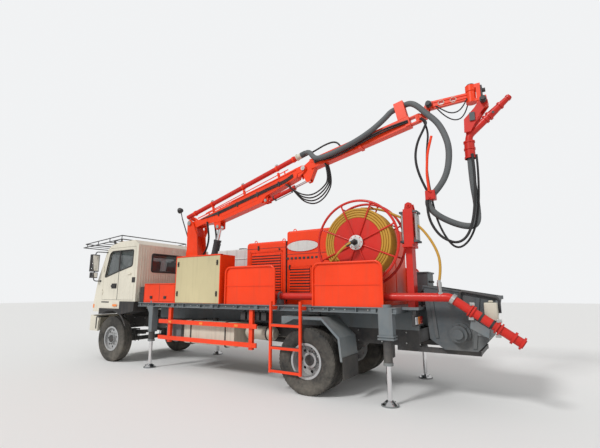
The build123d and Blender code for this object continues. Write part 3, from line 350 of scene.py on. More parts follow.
def studs(centre, radius, count, axis, length, r, sides, start=0.0):
    """Bars in a circle round an axis, at equal steps from the start angle in degrees."""
    angle = np.radians(start) + np.arange(count) * 2 * math.pi / count
    a, b, c = {"y": (0, 2, 1), "z": (0, 1, 2)}[axis]
    low = np.tile(np.array(centre, float), (count, 1))
    low[:, a] += radius * np.cos(angle)
    low[:, b] += radius * np.sin(angle)
    high = low.copy()
    high[:, c] += length
    return [("bar", tuple(p), tuple(q), r, sides) for p, q in zip(low, high)]


def add(name, body, material, table, both=False, bevel=0.0, soft=False):
    """One dressed piece from rows of a shape's kind and numbers; both adds the right side's."""
    parts = [SHAPES[kind](*numbers) for kind, *numbers in table]
    if both:
        parts += [(np.asarray(v, float).reshape(-1, 3) * (1, -1, 1), f) for v, f in parts]
    if soft:
        return round_piece(name, parts, MATERIALS[material], body)
    return piece(name, parts, MATERIALS[material], body, bevel)


# Shader groups


def new_group(name, ins, outs):
    """A shader node group with its inputs and outputs; returns the tree and both end nodes."""
    tree = bpy.data.node_groups.new(name, "ShaderNodeTree")
    for label, kind, default in ins:
        sock = tree.interface.new_socket(label, in_out="INPUT", socket_type=kind)
        sock.default_value = default
    for label, kind in outs:
        tree.interface.new_socket(label, in_out="OUTPUT", socket_type=kind)
    return tree, tree.nodes.new("NodeGroupInput"), tree.nodes.new("NodeGroupOutput")


def noise(tree, scale, detail=4.0, stretch=(1, 1, 1), rough=0.5):
    """A noise texture in the object's own coordinates, stretched along its axes."""
    coord = tree.nodes.new("ShaderNodeTexCoord")
    mapping = tree.nodes.new("ShaderNodeMapping")
    mapping.inputs["Scale"].default_value = stretch
    tex = tree.nodes.new("ShaderNodeTexNoise")
    tex.inputs["Detail"].default_value = detail
    tex.inputs["Roughness"].default_value = rough
    tree.links.new(coord.outputs["Object"], mapping.inputs["Vector"])
    tree.links.new(mapping.outputs["Vector"], tex.inputs["Vector"])
    if isinstance(scale, (int, float)):
        tex.inputs["Scale"].default_value = scale
    else:
        tree.links.new(scale, tex.inputs["Scale"])
    return tex.outputs["Fac"]


def math_node(tree, op, a, b, clamp=False):
    """One operation on two values, each a number or another node's output."""
    node = tree.nodes.new("ShaderNodeMath")
    node.operation = op
    node.use_clamp = clamp
    for k, value in enumerate((a, b)):
        if isinstance(value, (int, float)):
            node.inputs[k].default_value = value
        else:
            tree.links.new(value, node.inputs[k])
    return node.outputs[0]


def ramp(tree, value, low, high, out_low=0.0, out_high=1.0):
    """A value mapped from low and high to a new range, and held inside it."""
    node = tree.nodes.new("ShaderNodeMapRange")
    node.inputs["From Min"].default_value = low
    node.inputs["From Max"].default_value = high
    node.inputs["To Min"].default_value = out_low
    node.inputs["To Max"].default_value = out_high
    tree.links.new(value, node.inputs["Value"])
    return node.outputs["Result"]


def blend_colour(tree, fac, a, b):
    """A mix of two colours by a factor, each a colour or another node's output."""
    node = tree.nodes.new("ShaderNodeMix")
    node.data_type = "RGBA"
    tree.links.new(fac, node.inputs["Factor"])
    for sock, value in ((node.inputs["A"], a), (node.inputs["B"], b)):
        if hasattr(value, "links"):
            tree.links.new(value, sock)
        else:
            sock.default_value = (*value[:3], 1.0)
    return node.outputs["Result"]


def weathered_group():
    """Paint or plastic with blotches, dust on what faces up and low down, streaks and fine orange peel."""
    tree, gin, gout = new_group("Weathered surface",
        [("Color", "NodeSocketColor", (0.5, 0.5, 0.5, 1)),
        ("Dust Color", "NodeSocketColor", (0.42, 0.38, 0.32, 1)), ("Dust", "NodeSocketFloat", 0.3),
        ("Streaks", "NodeSocketFloat", 0.2), ("Gloss", "NodeSocketFloat", 0.35),
        ("Grain", "NodeSocketFloat", 300.0)],
        [("Color", "NodeSocketColor"), ("Roughness", "NodeSocketFloat"), ("Height", "NodeSocketFloat")])
    geo = tree.nodes.new("ShaderNodeNewGeometry")
    split = tree.nodes.new("ShaderNodeSeparateXYZ")
    tree.links.new(geo.outputs["Normal"], split.inputs[0])
    upward = ramp(tree, split.outputs["Z"], 0.2, 1.0)
    coord = tree.nodes.new("ShaderNodeTexCoord")
    place = tree.nodes.new("ShaderNodeSeparateXYZ")
    tree.links.new(coord.outputs["Object"], place.inputs[0])
    low_down = ramp(tree, place.outputs["Z"], 1.3, 0.1)
    blotch = ramp(tree, noise(tree, 2.2, 6.0), 0.38, 0.72)
    fine = ramp(tree, noise(tree, 14.0, 8.0, rough=0.65), 0.35, 0.75)
    settle = math_node(tree, "MAXIMUM", upward, low_down)
    settle = math_node(tree, "ADD", math_node(tree, "MULTIPLY", settle, 0.75), 0.18)
    speck = math_node(tree, "ADD", math_node(tree, "MULTIPLY", blotch, 0.6),
        math_node(tree, "MULTIPLY", fine, 0.5))
    dust = math_node(tree, "MULTIPLY", math_node(tree, "MULTIPLY", settle, speck), gin.outputs["Dust"], True)
    run = ramp(tree, noise(tree, 9.0, 5.0, (1.6, 1.6, 0.12)), 0.5, 0.72)
    run = math_node(tree, "MULTIPLY", run, gin.outputs["Streaks"], True)
    hue = tree.nodes.new("ShaderNodeHueSaturation")
    tree.links.new(gin.outputs["Color"], hue.inputs["Color"])
    tree.links.new(ramp(tree, noise(tree, 1.1, 3.0), 0.3, 0.7, 0.9, 1.08), hue.inputs["Value"])
    darker = blend_colour(tree, run, hue.outputs["Color"], (0.12, 0.09, 0.07))
    colour = blend_colour(tree, dust, darker, gin.outputs["Dust Color"])
    rough = math_node(tree, "ADD", gin.outputs["Gloss"], math_node(tree, "MULTIPLY", dust, 0.6), True)
    rough = math_node(tree, "ADD", rough, math_node(tree, "MULTIPLY", fine, 0.08), True)
    peel = noise(tree, gin.outputs["Grain"], 2.0)
    height = math_node(tree, "ADD", math_node(tree, "MULTIPLY", peel, 0.4),
        math_node(tree, "MULTIPLY", dust, 0.5))
    tree.links.new(colour, gout.inputs["Color"])
    tree.links.new(rough, gout.inputs["Roughness"])
    tree.links.new(height, gout.inputs["Height"])
    return tree


GROUPS = {}
MATERIALS = {}


def finish(name, colour, gloss=0.35, dust=0.3, streaks=0.15, grain=300.0, metallic=0.0, coat=0.0, bump=0.05,
           dust_colour=(0.4, 0.36, 0.3)):
    """A weathered surface of one base colour; a setting goes to the shared group or the shader."""
    if "weather" not in GROUPS:
        GROUPS["weather"] = weathered_group()
    mat = bpy.data.materials.new(name)
    mat.use_nodes = True
    tree = mat.node_tree
    shader = tree.nodes["Principled BSDF"]
    group = tree.nodes.new("ShaderNodeGroup")
    group.node_tree = GROUPS["weather"]
    group.inputs["Color"].default_value = (*colour, 1)
    group.inputs["Dust Color"].default_value = (*dust_colour, 1)
    for label, value in (("Dust", dust), ("Streaks", streaks), ("Gloss", gloss), ("Grain", grain)):
        group.inputs[label].default_value = value
    relief = tree.nodes.new("ShaderNodeBump")
    relief.inputs["Strength"].default_value = bump
    relief.inputs["Distance"].default_value = 0.002
    tree.links.new(group.outputs["Color"], shader.inputs["Base Color"])
    tree.links.new(group.outputs["Roughness"], shader.inputs["Roughness"])
    tree.links.new(group.outputs["Height"], relief.inputs["Height"])
    tree.links.new(relief.outputs["Normal"], shader.inputs["Normal"])
    shader.inputs["Metallic"].default_value = metallic
    shader.inputs["Coat Weight"].default_value = coat
    shader.inputs["Coat Roughness"].default_value = 0.12
    shader.inputs["Specular IOR Level"].default_value = 0.3
    MATERIALS[name] = mat
    return mat


def glass(name, colour, rough=0.03, alpha=0.45):
    """Tinted glass that shows what is behind it."""
    mat = bpy.data.materials.new(name)
    mat.use_nodes = True
    shader = mat.node_tree.nodes["Principled BSDF"]
    shader.inputs["Base Color"].default_value = (*colour, 1)
    shader.inputs["Roughness"].default_value = rough
    shader.inputs["Alpha"].default_value = alpha
    shader.inputs["Coat Weight"].default_value = 1.0
    MATERIALS[name] = mat
    return mat


def build_materials():
    """Every material of the rig, from the sizes' paint colours and fixed ones."""
    s = sizes()
    finish("orange_steel", s.orange, gloss=0.34, dust=0.1, streaks=0.1, coat=0.12)
    finish("red_steel", s.red, gloss=0.38, dust=0.12, streaks=0.15, coat=0.1)
    finish("cab_paint", s.cream, gloss=0.25, dust=0.22, streaks=0.12, coat=0.6)
    finish("grey_steel", (0.15, 0.175, 0.19), gloss=0.45, dust=0.55, streaks=0.25)
    finish("dark_steel", (0.035, 0.036, 0.04), gloss=0.42, dust=0.4, streaks=0.1)
    finish("slate_steel", (0.075, 0.088, 0.098), gloss=0.5, dust=0.45, streaks=0.2)
    finish("bare_steel", (0.55, 0.55, 0.54), gloss=0.3, dust=0.15, metallic=1.0, grain=600.0)
    finish("chrome_rod", (0.75, 0.75, 0.76), gloss=0.08, dust=0.05, streaks=0.0, metallic=1.0, bump=0.0)
    finish("tyre", (0.022, 0.022, 0.022), gloss=0.72, dust=0.55, streaks=0.0, grain=900.0, bump=0.25)
    finish("rim", (0.45, 0.46, 0.47), gloss=0.38, dust=0.5, streaks=0.25, metallic=0.3)
    finish("black_plastic", (0.024, 0.024, 0.026), gloss=0.5, dust=0.3, grain=700.0, bump=0.15)
    finish("cab_lining", (0.16, 0.16, 0.17), gloss=0.75, dust=0.1, streaks=0.0, grain=900.0, bump=0.2)
    finish("seat_cloth", (0.72, 0.7, 0.66), gloss=0.8, dust=0.1, streaks=0.0, grain=1200.0, bump=0.3)
    finish("cover_sheet", (0.56, 0.49, 0.29), gloss=0.5, dust=0.25, streaks=0.15)
    finish("tank_steel", (0.62, 0.58, 0.48), gloss=0.4, dust=0.45, streaks=0.3)
    finish("yellow_hose", (0.5, 0.27, 0.035), gloss=0.55, dust=0.2, streaks=0.0, grain=500.0, bump=0.3)
    finish("grey_hose", (0.11, 0.12, 0.125), gloss=0.62, dust=0.3, streaks=0.0, grain=500.0, bump=0.3)
    finish("black_hose", (0.02, 0.02, 0.022), gloss=0.5, dust=0.15, streaks=0.0, grain=500.0, bump=0.2)
    finish("pale_steel", (0.62, 0.62, 0.6), gloss=0.4, dust=0.25, streaks=0.25)
    finish("lamp_red", (0.55, 0.01, 0.01), gloss=0.12, dust=0.1, coat=1.0)
    finish("lamp_amber", (0.85, 0.22, 0.01), gloss=0.12, dust=0.1, coat=1.0)
    finish("lamp_clear", (0.75, 0.76, 0.78), gloss=0.08, dust=0.1, coat=1.0)
    finish("mirror_glass", (0.8, 0.8, 0.82), gloss=0.03, dust=0.02, streaks=0.0, metallic=1.0, bump=0.0)
    glass("cab_glass", (0.05, 0.07, 0.07))


# Finish of each frame node that stays in view
NODE_FINISH = {
    "orange_steel": "boom_lower boom_upper boom_slide boom_wrist tip_arm spray_head turret "
        "side_lockers side_panels locker_door_left locker_door_right "
        "side_rails_and_ladder power_pack_hood compressor_hood",
    "red_steel": "delivery_pipe reel_stand hose_reel nozzle fold_barrel",
    "cab_paint": "cab_shell door_left door_right front_bumper",
    "grey_steel": "deck rear_mudguards",
    "dark_steel": "chassis_frame engine_block front_axle rear_axle jack_tubes knuckle_left "
        "knuckle_right lift_barrel roof_rack",
    "slate_steel": "pump_unit",
    "chrome_rod": "lift_rod fold_rod jack_front_left jack_front_right jack_rear_left "
        "jack_rear_right",
    "rim": "front_rim_left front_rim_right rear_rims_left rear_rims_right",
    "black_plastic": "front_fenders mirrors",
    "cab_lining": "cab_interior",
    "cab_glass": "cab_glass door_glass_left door_glass_right",
    "tank_steel": "fuel_tanks",
    "yellow_hose": "hose_coil lead_hose",
    "grey_hose": "boom_hose nozzle_hose",
    "tyre": "front_tyre_left front_tyre_right rear_tyres_left rear_tyres_right",
}


class RIG_OT_stage(bpy.types.Operator):
    """Pale floor, soft light and the camera at the photograph's angle"""

    bl_idname = "rig.stage"
    bl_label = "Stage"

    def execute(self, context):
        scene = context.scene
        scene.view_settings.view_transform = "Standard"
        half = FLOOR_HALF
        mesh = bpy.data.meshes.new("studio_floor")
        mesh.from_pydata([(-half, -half, 0), (half, -half, 0), (half, half, 0), (-half, half, 0)], [],
            [[0, 1, 2, 3]])
        floor = bpy.data.objects.new("studio_floor", mesh)
        scene.collection.objects.link(floor)
        mat = bpy.data.materials.new("studio_floor")
        mat.use_nodes = True
        mat.node_tree.nodes["Principled BSDF"].inputs["Base Color"].default_value = (*sizes().floor, 1)
        mat.node_tree.nodes["Principled BSDF"].inputs["Roughness"].default_value = 0.9
        mesh.materials.append(mat)
        world = bpy.data.worlds.new("studio")
        scene.world = world
        world.use_nodes = True
        tree = world.node_tree
        tree.nodes.clear()
        out = tree.nodes.new("ShaderNodeOutputWorld")
        light = tree.nodes.new("ShaderNodeBackground")
        light.inputs["Color"].default_value = (*ROOM_LIGHT, 1)
        light.inputs["Strength"].default_value = ROOM_STRENGTH
        seen = tree.nodes.new("ShaderNodeBackground")
        seen.inputs["Color"].default_value = (*BACKDROP, 1)
        seen.inputs["Strength"].default_value = 1.0
        path = tree.nodes.new("ShaderNodeLightPath")
        mix = tree.nodes.new("ShaderNodeMixShader")
        either = math_node(tree, "MAXIMUM", path.outputs["Is Camera Ray"],
            path.outputs["Is Transmission Ray"])
        tree.links.new(either, mix.inputs[0])
        tree.links.new(light.outputs[0], mix.inputs[1])
        tree.links.new(seen.outputs[0], mix.inputs[2])
        tree.links.new(mix.outputs[0], out.inputs[0])
        for name, energy, aim, angle in SUNS:
            lamp = bpy.data.lights.new(name, "SUN")
            lamp.energy = energy
            lamp.angle = math.radians(angle)
            obj = bpy.data.objects.new(name, lamp)
            obj.rotation_euler = Vector(aim).to_track_quat("-Z", "Y").to_euler()
            scene.collection.objects.link(obj)
        flat = math.cos(CAMERA_PITCH)
        look = Vector((math.sin(CAMERA_YAW) * flat, -math.cos(CAMERA_YAW) * flat, math.sin(CAMERA_PITCH)))
        right = look.cross(Vector((0, 0, 1))).normalized()
        up = right.cross(look)
        cam = bpy.data.objects.new("photo_camera", bpy.data.cameras.new("photo_camera"))
        cam.data.sensor_width, cam.data.lens = CAMERA_SENSOR, CAMERA_LENS
        rows = Matrix((right, up, -look)).transposed().to_4x4()
        rows.translation = Vector(at([CAMERA_PLACE])[0])
        cam.matrix_world = rows
        scene.collection.objects.link(cam)
        scene.camera = cam
        return {"FINISHED"}


class RIG_OT_finishes(bpy.types.Operator):
    """Gives each frame node its material"""

    bl_idname = "rig.finishes"
    bl_label = "Frame finishes"

    def execute(self, context):
        build_materials()
        for name, nodes in NODE_FINISH.items():
            for node in nodes.split():
                obj = frame["nodes"][node]
                obj.data.materials.clear()
                obj.data.materials.append(MATERIALS[name])
        return {"FINISHED"}


def tyre_data(centre, width):
    """A tyre as a grid: the section runs over the carcass, and a wave round it raises the lugs."""
    s = sizes()
    around = s.tread_blocks * 8
    inner, half = 0.279, width / 2
    section = [(inner, -0.78), (0.3, -0.9), (0.345, -1.0), (0.4, -1.02), (0.445, -0.985), (0.475, -0.95),
               (0.497, -0.865), (0.505, -0.8)]
    tread = np.linspace(-0.78, 0.78, 27)
    sec = np.array([(r, o) for r, o in section] + [(TYRE_R, o) for o in tread] + [(r, -o)
        for r, o in section[::-1]])
    v = sec[:, 1]
    u = np.arange(around) / around
    on_tread = (sec[:, 0] >= 0.5) & (np.abs(v) <= 0.81)
    wave = (u[:, None] * s.tread_blocks + 0.35 * np.sin(v[None, :] * 5.5)) % 1.0
    cross_cut = (wave < 0.24) & (np.abs(v)[None, :] > 0.42)
    rib_cut = (np.abs(np.abs(v) - 0.4) < 0.035) | (np.abs(v) < 0.03)
    cut = (cross_cut | rib_cut[None, :]) & on_tread[None, :]
    radius = np.broadcast_to(sec[:, 0], (around, len(sec))) - cut * s.tread_depth
    angle = u * 2 * math.pi
    verts = np.zeros((around, len(sec), 3))
    verts[..., 0] = centre[0] + np.cos(angle)[:, None] * radius
    verts[..., 1] = centre[1] + v[None, :] * half
    verts[..., 2] = centre[2] + np.sin(angle)[:, None] * radius
    return at(verts.reshape(-1, 3)), grid_faces(around, len(sec), True, True).tolist()


class RIG_OT_tyres(bpy.types.Operator):
    """Tyres with grooved tread, and the wheel nuts and hub caps"""

    bl_idname = "rig.tyres"
    bl_label = "Tyres"

    def execute(self, context):
        wheels = []
        for side, sign in (("left", 1), ("right", -1)):
            wheels.append((f"front_tyre_{side}", f"front_wheel_{side}", WHEELBASE, [sign * 0.955]))
            wheels.append((f"rear_tyres_{side}", f"rear_wheels_{side}", 0.0, [sign * 1.09, sign * 0.795]))
        for node, body, x, across in wheels:
            parts = [tyre_data((x, y, TYRE_R), 0.25) for y in across]
            obj = piece(f"{node}_tread", parts, MATERIALS["tyre"], body, smooth=True)
            obj.data.set_sharp_from_angle(angle=math.radians(40))
            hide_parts(node)
            sign = math.copysign(1, across[0])
            face = 0.995
            ring = np.arange(8) * math.pi / 4 + math.pi / 8
            spots = [(x + 0.135 * math.cos(a), face * sign, TYRE_R + 0.135 * math.sin(a)) for a in ring]
            nuts = [rod_data(p, (p[0], p[1] + sign * 0.028, p[2]), 0.017, 6) for p in spots]
            nuts += [rod_data(p, (p[0], p[1] + sign * 0.045, p[2]), 0.009, 10) for p in spots]
            round_piece(f"{node}_nuts", nuts, MATERIALS["bare_steel"], body)
            cap = [(0.001, 0.0), (0.06, 0.0), (0.085, -0.012), (0.085, -0.05), (0.001, -0.05)]
            profile = [(r, o * sign) for r, o in cap]
            tip = 1.068 if x else 1.086
            round_piece(f"{node}_hub_cap", [turned_data(profile, (x, sign * tip, TYRE_R))],
                MATERIALS["dark_steel"], body)
        return {"FINISHED"}


def front_x(z):
    """The cab's sloping front: its x at a height, from the sill line to the roof's edge."""
    return float(np.interp(z, [1.3, 1.88, 2.58], [6.19, 6.08, 5.79]))


class RIG_OT_cab(bpy.types.Operator):
    """Ribbed rear wall, window seals, grille, lamps, wipers, handles and mirror faces of the cab"""

    bl_idname = "rig.cab"
    bl_label = "Cab trim"

    def execute(self, context):
        ribs = []
        for y in np.arange(-1.02, 1.03, 0.068):
            spans = [(1.44, 2.0), (2.54, 2.62)] if abs(y) < 0.76 else [(1.44, 2.62)]
            ribs += [("post", REAR_WALL_X, y, a, b, 0.013, 10) for a, b in spans]
        add("cab_rear_ribs", "cab", "cab_paint", ribs, soft=True)
        x = REAR_WALL_X - 0.004
        seal = [(x, -0.72, 2.06), (x, 0.72, 2.06), (x, 0.72, 2.48), (x, -0.72, 2.48)]
        low, high = 1.93, 2.54
        screen = [(front_x(low), -1.0, low), (front_x(low), 1.0, low), (front_x(high), 1.0, high),
                  (front_x(high), -1.0, high)]
        add("cab_seals", "cab", "black_plastic", [("loop", seal, 0.02), ("loop", screen, 0.018)], soft=True)
        wipers = []
        for y in (-0.62, 0.22):
            base = (front_x(1.9) + 0.02, y, 1.9)
            tip = (front_x(2.35) + 0.025, y + 0.42, 2.35)
            wipers.append(("bar", base, tip, 0.007, 8))
            wipers.append(("bar", (front_x(2.12) + 0.02, y + 0.1, 2.12),
                (front_x(2.5) + 0.018, y + 0.62, 2.5), 0.01, 8))
            wipers.append(("bar", (front_x(1.9) - 0.02, y, 1.9), (front_x(1.9) + 0.03, y, 1.9), 0.02, 12))
        add("wipers", "cab", "black_plastic", wipers, soft=True)
        slats = [("box", (front_x(z) - 0.03, -0.72, z), (front_x(z) + 0.008, 0.72, z + 0.035))
                 for z in np.arange(1.36, 1.8, 0.06)]
        slats.append(("box", (6.05, -0.78, 1.33), (front_x(1.84) + 0.003, 0.78, 1.84)))
        add("cab_grille", "cab", "black_plastic", slats, bevel=0.004)
        for side, sign in (("left", 1), ("right", -1)):
            body = f"door_{side}"
            y = sign * (CAB_SIDE_Y + 0.002)
            add(f"{body}_seal", body, "black_plastic", [("loop", [(a, y, b) for a, b in WINDOW], 0.014)],
                soft=True)
            add(f"{body}_pillar", body, "black_plastic",
                [("box", (5.215, y - 0.004, 2.08), (5.265, y + 0.004, 2.56)),
                ("box", (5.236, y - 0.004, 1.41), (5.244, y + 0.003, 2.08))])
            add(f"{body}_handle", body, "black_plastic",
                [("box", (5.3, y - sign * 0.005, 1.7), (5.48, y + sign * 0.03, 1.75)),
                 ("box", (5.29, y - sign * 0.008, 1.665), (5.49, y + sign * 0.006, 1.785))], bevel=0.008)
        lamps = [("box", (6.262, 0.62, 0.8), (6.278, 0.98, 0.98)),
            ("box", (6.262, 0.7, 0.7), (6.276, 0.82, 0.77))]
        add("headlamps", "root", "lamp_clear", lamps, both=True, bevel=0.012)
        rims = [("box", (6.255, 0.6, 0.78), (6.272, 1.0, 1.0)),
            ("box", (6.26, -0.45, 0.74), (6.274, 0.45, 0.9))]
        add("bumper_inserts", "root", "black_plastic", rims, both=True, bevel=0.01)
        add("bumper_slits", "root", "black_plastic", [("box", (5.985, 1.085, 0.71), (6.03, 1.093, 0.98))],
            both=True)
        side = [("box", (5.2, 1.118, 1.25), (5.36, 1.128, 1.3)),
            ("box", (6.135, 1.02, 1.2), (6.196, 1.104, 1.29)), ("box", (5.3, 0.9, 2.775), (5.36, 1.0, 2.81)),
            ("box", (5.42, 0.25, 2.765), (5.48, 0.35, 2.8))]
        add("cab_markers", "cab", "lamp_amber", side, both=True, bevel=0.006)
        add("fuel_flap", "cab", "black_plastic", [("box", (4.6, 1.098, 1.8), (4.72, 1.106, 1.92))],
            bevel=0.01)
        faces = [("box", (6.037, 1.145, 2.1), (6.044, 1.31, 2.48)),
            ("box", (6.037, 1.165, 1.94), (6.044, 1.29, 2.05))]
        add("mirror_faces", "cab", "mirror_glass", faces, both=True, bevel=0.004)
        steps = [("box", (5.88, 0.86, 0.98), (5.98, 1.115, 1.01)),
            ("box", (5.55, 1.0, 1.335), (5.85, 1.112, 1.36))]
        add("cab_steps", "cab", "dark_steel", steps, both=True, bevel=0.005)
        arch = [(WHEELBASE + 0.66 * math.cos(a), 1.112, 0.51 + 0.66 * math.sin(a))
            for a in np.radians(np.linspace(62, 152, 16))]
        add("arch_lips", "cab", "black_plastic", [("pipe", arch, 0.018, 0.02)], both=True, soft=True)
        add("air_intake", "root", "black_plastic",
            [("box", (4.27, 0.8, 1.36), (4.41, 1.09, 1.7)), ("box", (4.26, 0.79, 1.56), (4.42, 1.1, 1.58))],
            bevel=0.015)
        return {"FINISHED"}


class RIG_OT_superstructure(bpy.types.Operator):
    """Cabinet covers, hood doors and louvres, latches, tanks, straps, exhaust and battery boxes"""

    bl_idname = "rig.superstructure"
    bl_label = "Superstructure"

    def execute(self, context):
        skins = [("box", (1.968, 1.07, 1.363), (3.207, 1.122, 2.292))]
        add("cabinet_covers", "root", "cover_sheet", skins, both=True, bevel=0.018)
        trim = [("box", (1.955, 1.055, 1.36), (1.975, 1.124, 2.315)),
            ("box", (3.2, 1.055, 1.36), (3.22, 1.124, 2.315)),
            ("box", (1.955, 1.055, 2.292), (3.22, 1.124, 2.318))]
        add("cabinet_frames", "root", "orange_steel", trim, both=True, bevel=0.006)
        latches = [("box", (x, 1.12, z), (x + 0.035, 1.136, z + 0.1)) for x in (2.02, 3.12)
            for z in (1.5, 2.1)]
        latches += [("pin", x + 0.017, z + 0.05, 1.12, 1.15, 0.012, 10)
                    for x in (2.02, 3.12) for z in (1.5, 2.1)]
        add("cabinet_latches", "root", "black_plastic", latches, both=True, bevel=0.003)
        for side, sign in (("left", 1), ("right", -1)):
            y = sign * 1.1
            rows = [("box", (x, y - 0.003 * sign, 1.44), (x + 0.07, y + 0.018 * sign, 1.5))
                for x in (3.5, 3.95)]
            add(f"locker_latches_{side}", f"locker_door_{side}", "black_plastic", rows, bevel=0.004)
            seam = [("box", (3.722, y - 0.002 * sign, 1.39), (3.73, y + 0.002 * sign, 1.738))]
            add(f"locker_seam_{side}", f"locker_door_{side}", "dark_steel", seam)
        doors = [("box", (-0.25, HOOD_Y, 1.5), (0.25, 0.507, 2.26)),
            ("box", (-0.95, HOOD_Y, 1.5), (-0.32, 0.507, 2.26)),
            ("box", (-1.05, HOOD_Y, 2.34), (0.02, 0.505, 2.66))]
        frame_rows = [("box", (0.28, HOOD_Y, 1.46), (0.3, 0.512, 2.06)),
            ("box", (0.78, HOOD_Y, 1.46), (0.8, 0.512, 2.06)),
            ("box", (0.28, HOOD_Y, 2.04), (0.8, 0.512, 2.06)),
            ("box", (0.93, HOOD_Y, 1.54), (0.95, 0.512, 2.38)),
            ("box", (1.7, HOOD_Y, 1.54), (1.72, 0.512, 2.38)),
            ("box", (0.93, HOOD_Y, 2.36), (1.72, 0.512, 2.38)),
            ("box", (0.93, HOOD_Y, 1.54), (1.72, 0.512, 1.56))]
        add("hood_doors", "root", "orange_steel", doors + frame_rows, bevel=0.004)
        fields = [(0.97, 1.68, z) for z in np.arange(1.62, 2.33, 0.052)]
        fields += [(0.32, 0.76, z) for z in np.arange(1.54, 2.02, 0.052)]
        slats = [("plate", [(a, z), (b, z), (b, z + 0.028), (a, z + 0.028)], HOOD_Y, 0.517)
            for a, b, z in fields]
        add("hood_louvres", "root", "orange_steel", slats, bevel=0.003)
        # Painted shade: a dark strip under each louvre slat stands in for the shadow in the opening beneath
        # it
        louvre_shade = [("box", (a, HOOD_Y, z - 0.018), (b, 0.5025, z)) for a, b, z in fields]
        add("hood_louvre_painted_shade", "root", "dark_steel", louvre_shade)
        far = [("box", (x, -0.828, 1.5), (x + 0.52, -0.818, 2.45)) for x in (-1.0, -0.4, 0.2, 1.1)]
        rear = [("box", (-1.088, y, 1.5), (-1.078, y + 0.56, 2.6)) for y in (-0.72, -0.1)]
        add("hood_far_doors", "root", "orange_steel", far + rear, bevel=0.004)
        grille = [("box", (x + 0.06, -0.834, z), (x + 0.46, -0.822, z + 0.015))
            for x in (-1.0, -0.4, 0.2, 1.1) for z in np.arange(1.6, 2.0, 0.045)]
        add("hood_far_louvres", "root", "orange_steel", grille, bevel=0.003)
        seams = [("box", (-1.083, 0.4985, 2.29), (0.843, 0.5035, 2.297)),
            ("box", (0.847, 0.4985, 2.44), (1.833, 0.5035, 2.447)),
            ("box", (-1.084, -0.82, 2.29), (-1.079, 0.5, 2.297)),
            ("box", (0.842, 0.3, 1.4), (0.848, 0.503, 2.56))]
        add("hood_seams", "root", "dark_steel", seams)
        notches = [("box", (x, 0.5, 2.195), (x + 0.05, 0.511, 2.235)) for x in np.arange(0.06, 0.8, 0.09)]
        add("hood_notches", "root", "dark_steel", notches)
        latch = [("box", (x, 0.503, z), (x + 0.03, 0.524, z + 0.09))
            for x, z in ((0.2, 1.75), (-0.28, 1.75), (-0.9, 1.75), (1.67, 2.0), (0.74, 2.0), (-0.1, 2.36),
            (1.5, 2.41))]
        latch += [("pin", x, z, 0.5, 0.52, 0.018, 12) for x, z in ((1.0, 2.41), (-0.9, 2.36))]
        add("hood_latches", "root", "black_plastic", latch, bevel=0.003)
        angle = np.linspace(0, 2 * math.pi, 48, endpoint=False)
        oval = [(0.477 + 0.36 * math.cos(a), 2.44 + 0.115 * math.sin(a)) for a in angle]
        inner = [(0.477 + 0.34 * math.cos(a), 2.44 + 0.1 * math.sin(a)) for a in angle]
        add("oval_rim", "root", "red_steel", [("plate", oval, 0.498, 0.506)])
        add("oval_plate", "root", "pale_steel", [("plate", inner, 0.499, 0.509)])
        eyes = [("ring", (x, y, z), 0.03, 0.009, 24, 8)
            for x, z in ((-0.95, 2.765), (0.72, 2.765), (0.98, 2.595), (1.68, 2.595)) for y in (-0.7, 0.38)]
        eyes += [("box", (-0.62, -0.55, 2.744), (0.35, 0.2, 2.764)),
            ("box", (1.05, -0.6, 2.573), (1.65, 0.3, 2.59))]
        add("lifting_eyes", "root", "orange_steel", eyes, soft=True)
        add("exhaust", "root", "dark_steel",
            [("pipe", [(0.1, -0.62, 2.74), (0.1, -0.62, 2.98), (-0.1, -0.62, 3.05)], 0.05, 0.09)], soft=True)
        tank = [("box", (2.08, -0.64, 1.362), (3.02, 0.12, 2.52))]
        tank += [("box", (2.07, -0.65, z), (3.03, 0.13, z + 0.05)) for z in (1.62, 1.95, 2.28)]
        add("additive_tank", "root", "pale_steel", tank, bevel=0.04)
        add("additive_cap", "root", "black_plastic", [("post", 2.55, -0.26, 2.51, 2.58, 0.11, 28)], soft=True)
        straps = [("loop", [(x, 0.515, 0.555), (x, 0.965, 0.555), (x, 0.965, 1.015), (x, 0.515, 1.015)],
            0.014, 0.05) for x in (1.92, 2.85)]
        add("tank_straps", "root", "dark_steel", straps, both=True, soft=True)
        caps = [("post", 2.35, 0.78, 1.0, 1.05, 0.055, 24), ("post", 2.35, 0.78, 1.05, 1.065, 0.065, 24)]
        add("tank_caps", "root", "black_plastic", caps, both=True, soft=True)
        air = [("turned",
            [(0.001, -0.34), (0.09, -0.325), (0.125, -0.28), (0.125, 0.28), (0.09, 0.325), (0.001, 0.34)],
            (1.28, 0.66, 0.83), "x", 32)]
        add("air_tanks", "root", "tank_steel", air, both=True, soft=True)
        bands = [("turned", sleeve(0.124, 0.132, -0.015, 0.015), (x, 0.66, 0.83), "x", 32)
                 for x in (1.1, 1.46)]
        bands += [("box", (x - 0.03, 0.46, 0.86), (x + 0.03, 0.62, 0.98)) for x in (1.1, 1.46)]
        add("air_tank_bands", "root", "dark_steel", bands, both=True, soft=True)
        boxes = [("box", (3.18, 0.5, 0.64), (3.62, 0.93, 0.99)),
            ("box", (3.17, 0.49, 0.9), (3.63, 0.94, 0.935))]
        add("battery_boxes", "root", "grey_steel", boxes, both=True, bevel=0.012)
        return {"FINISHED"}


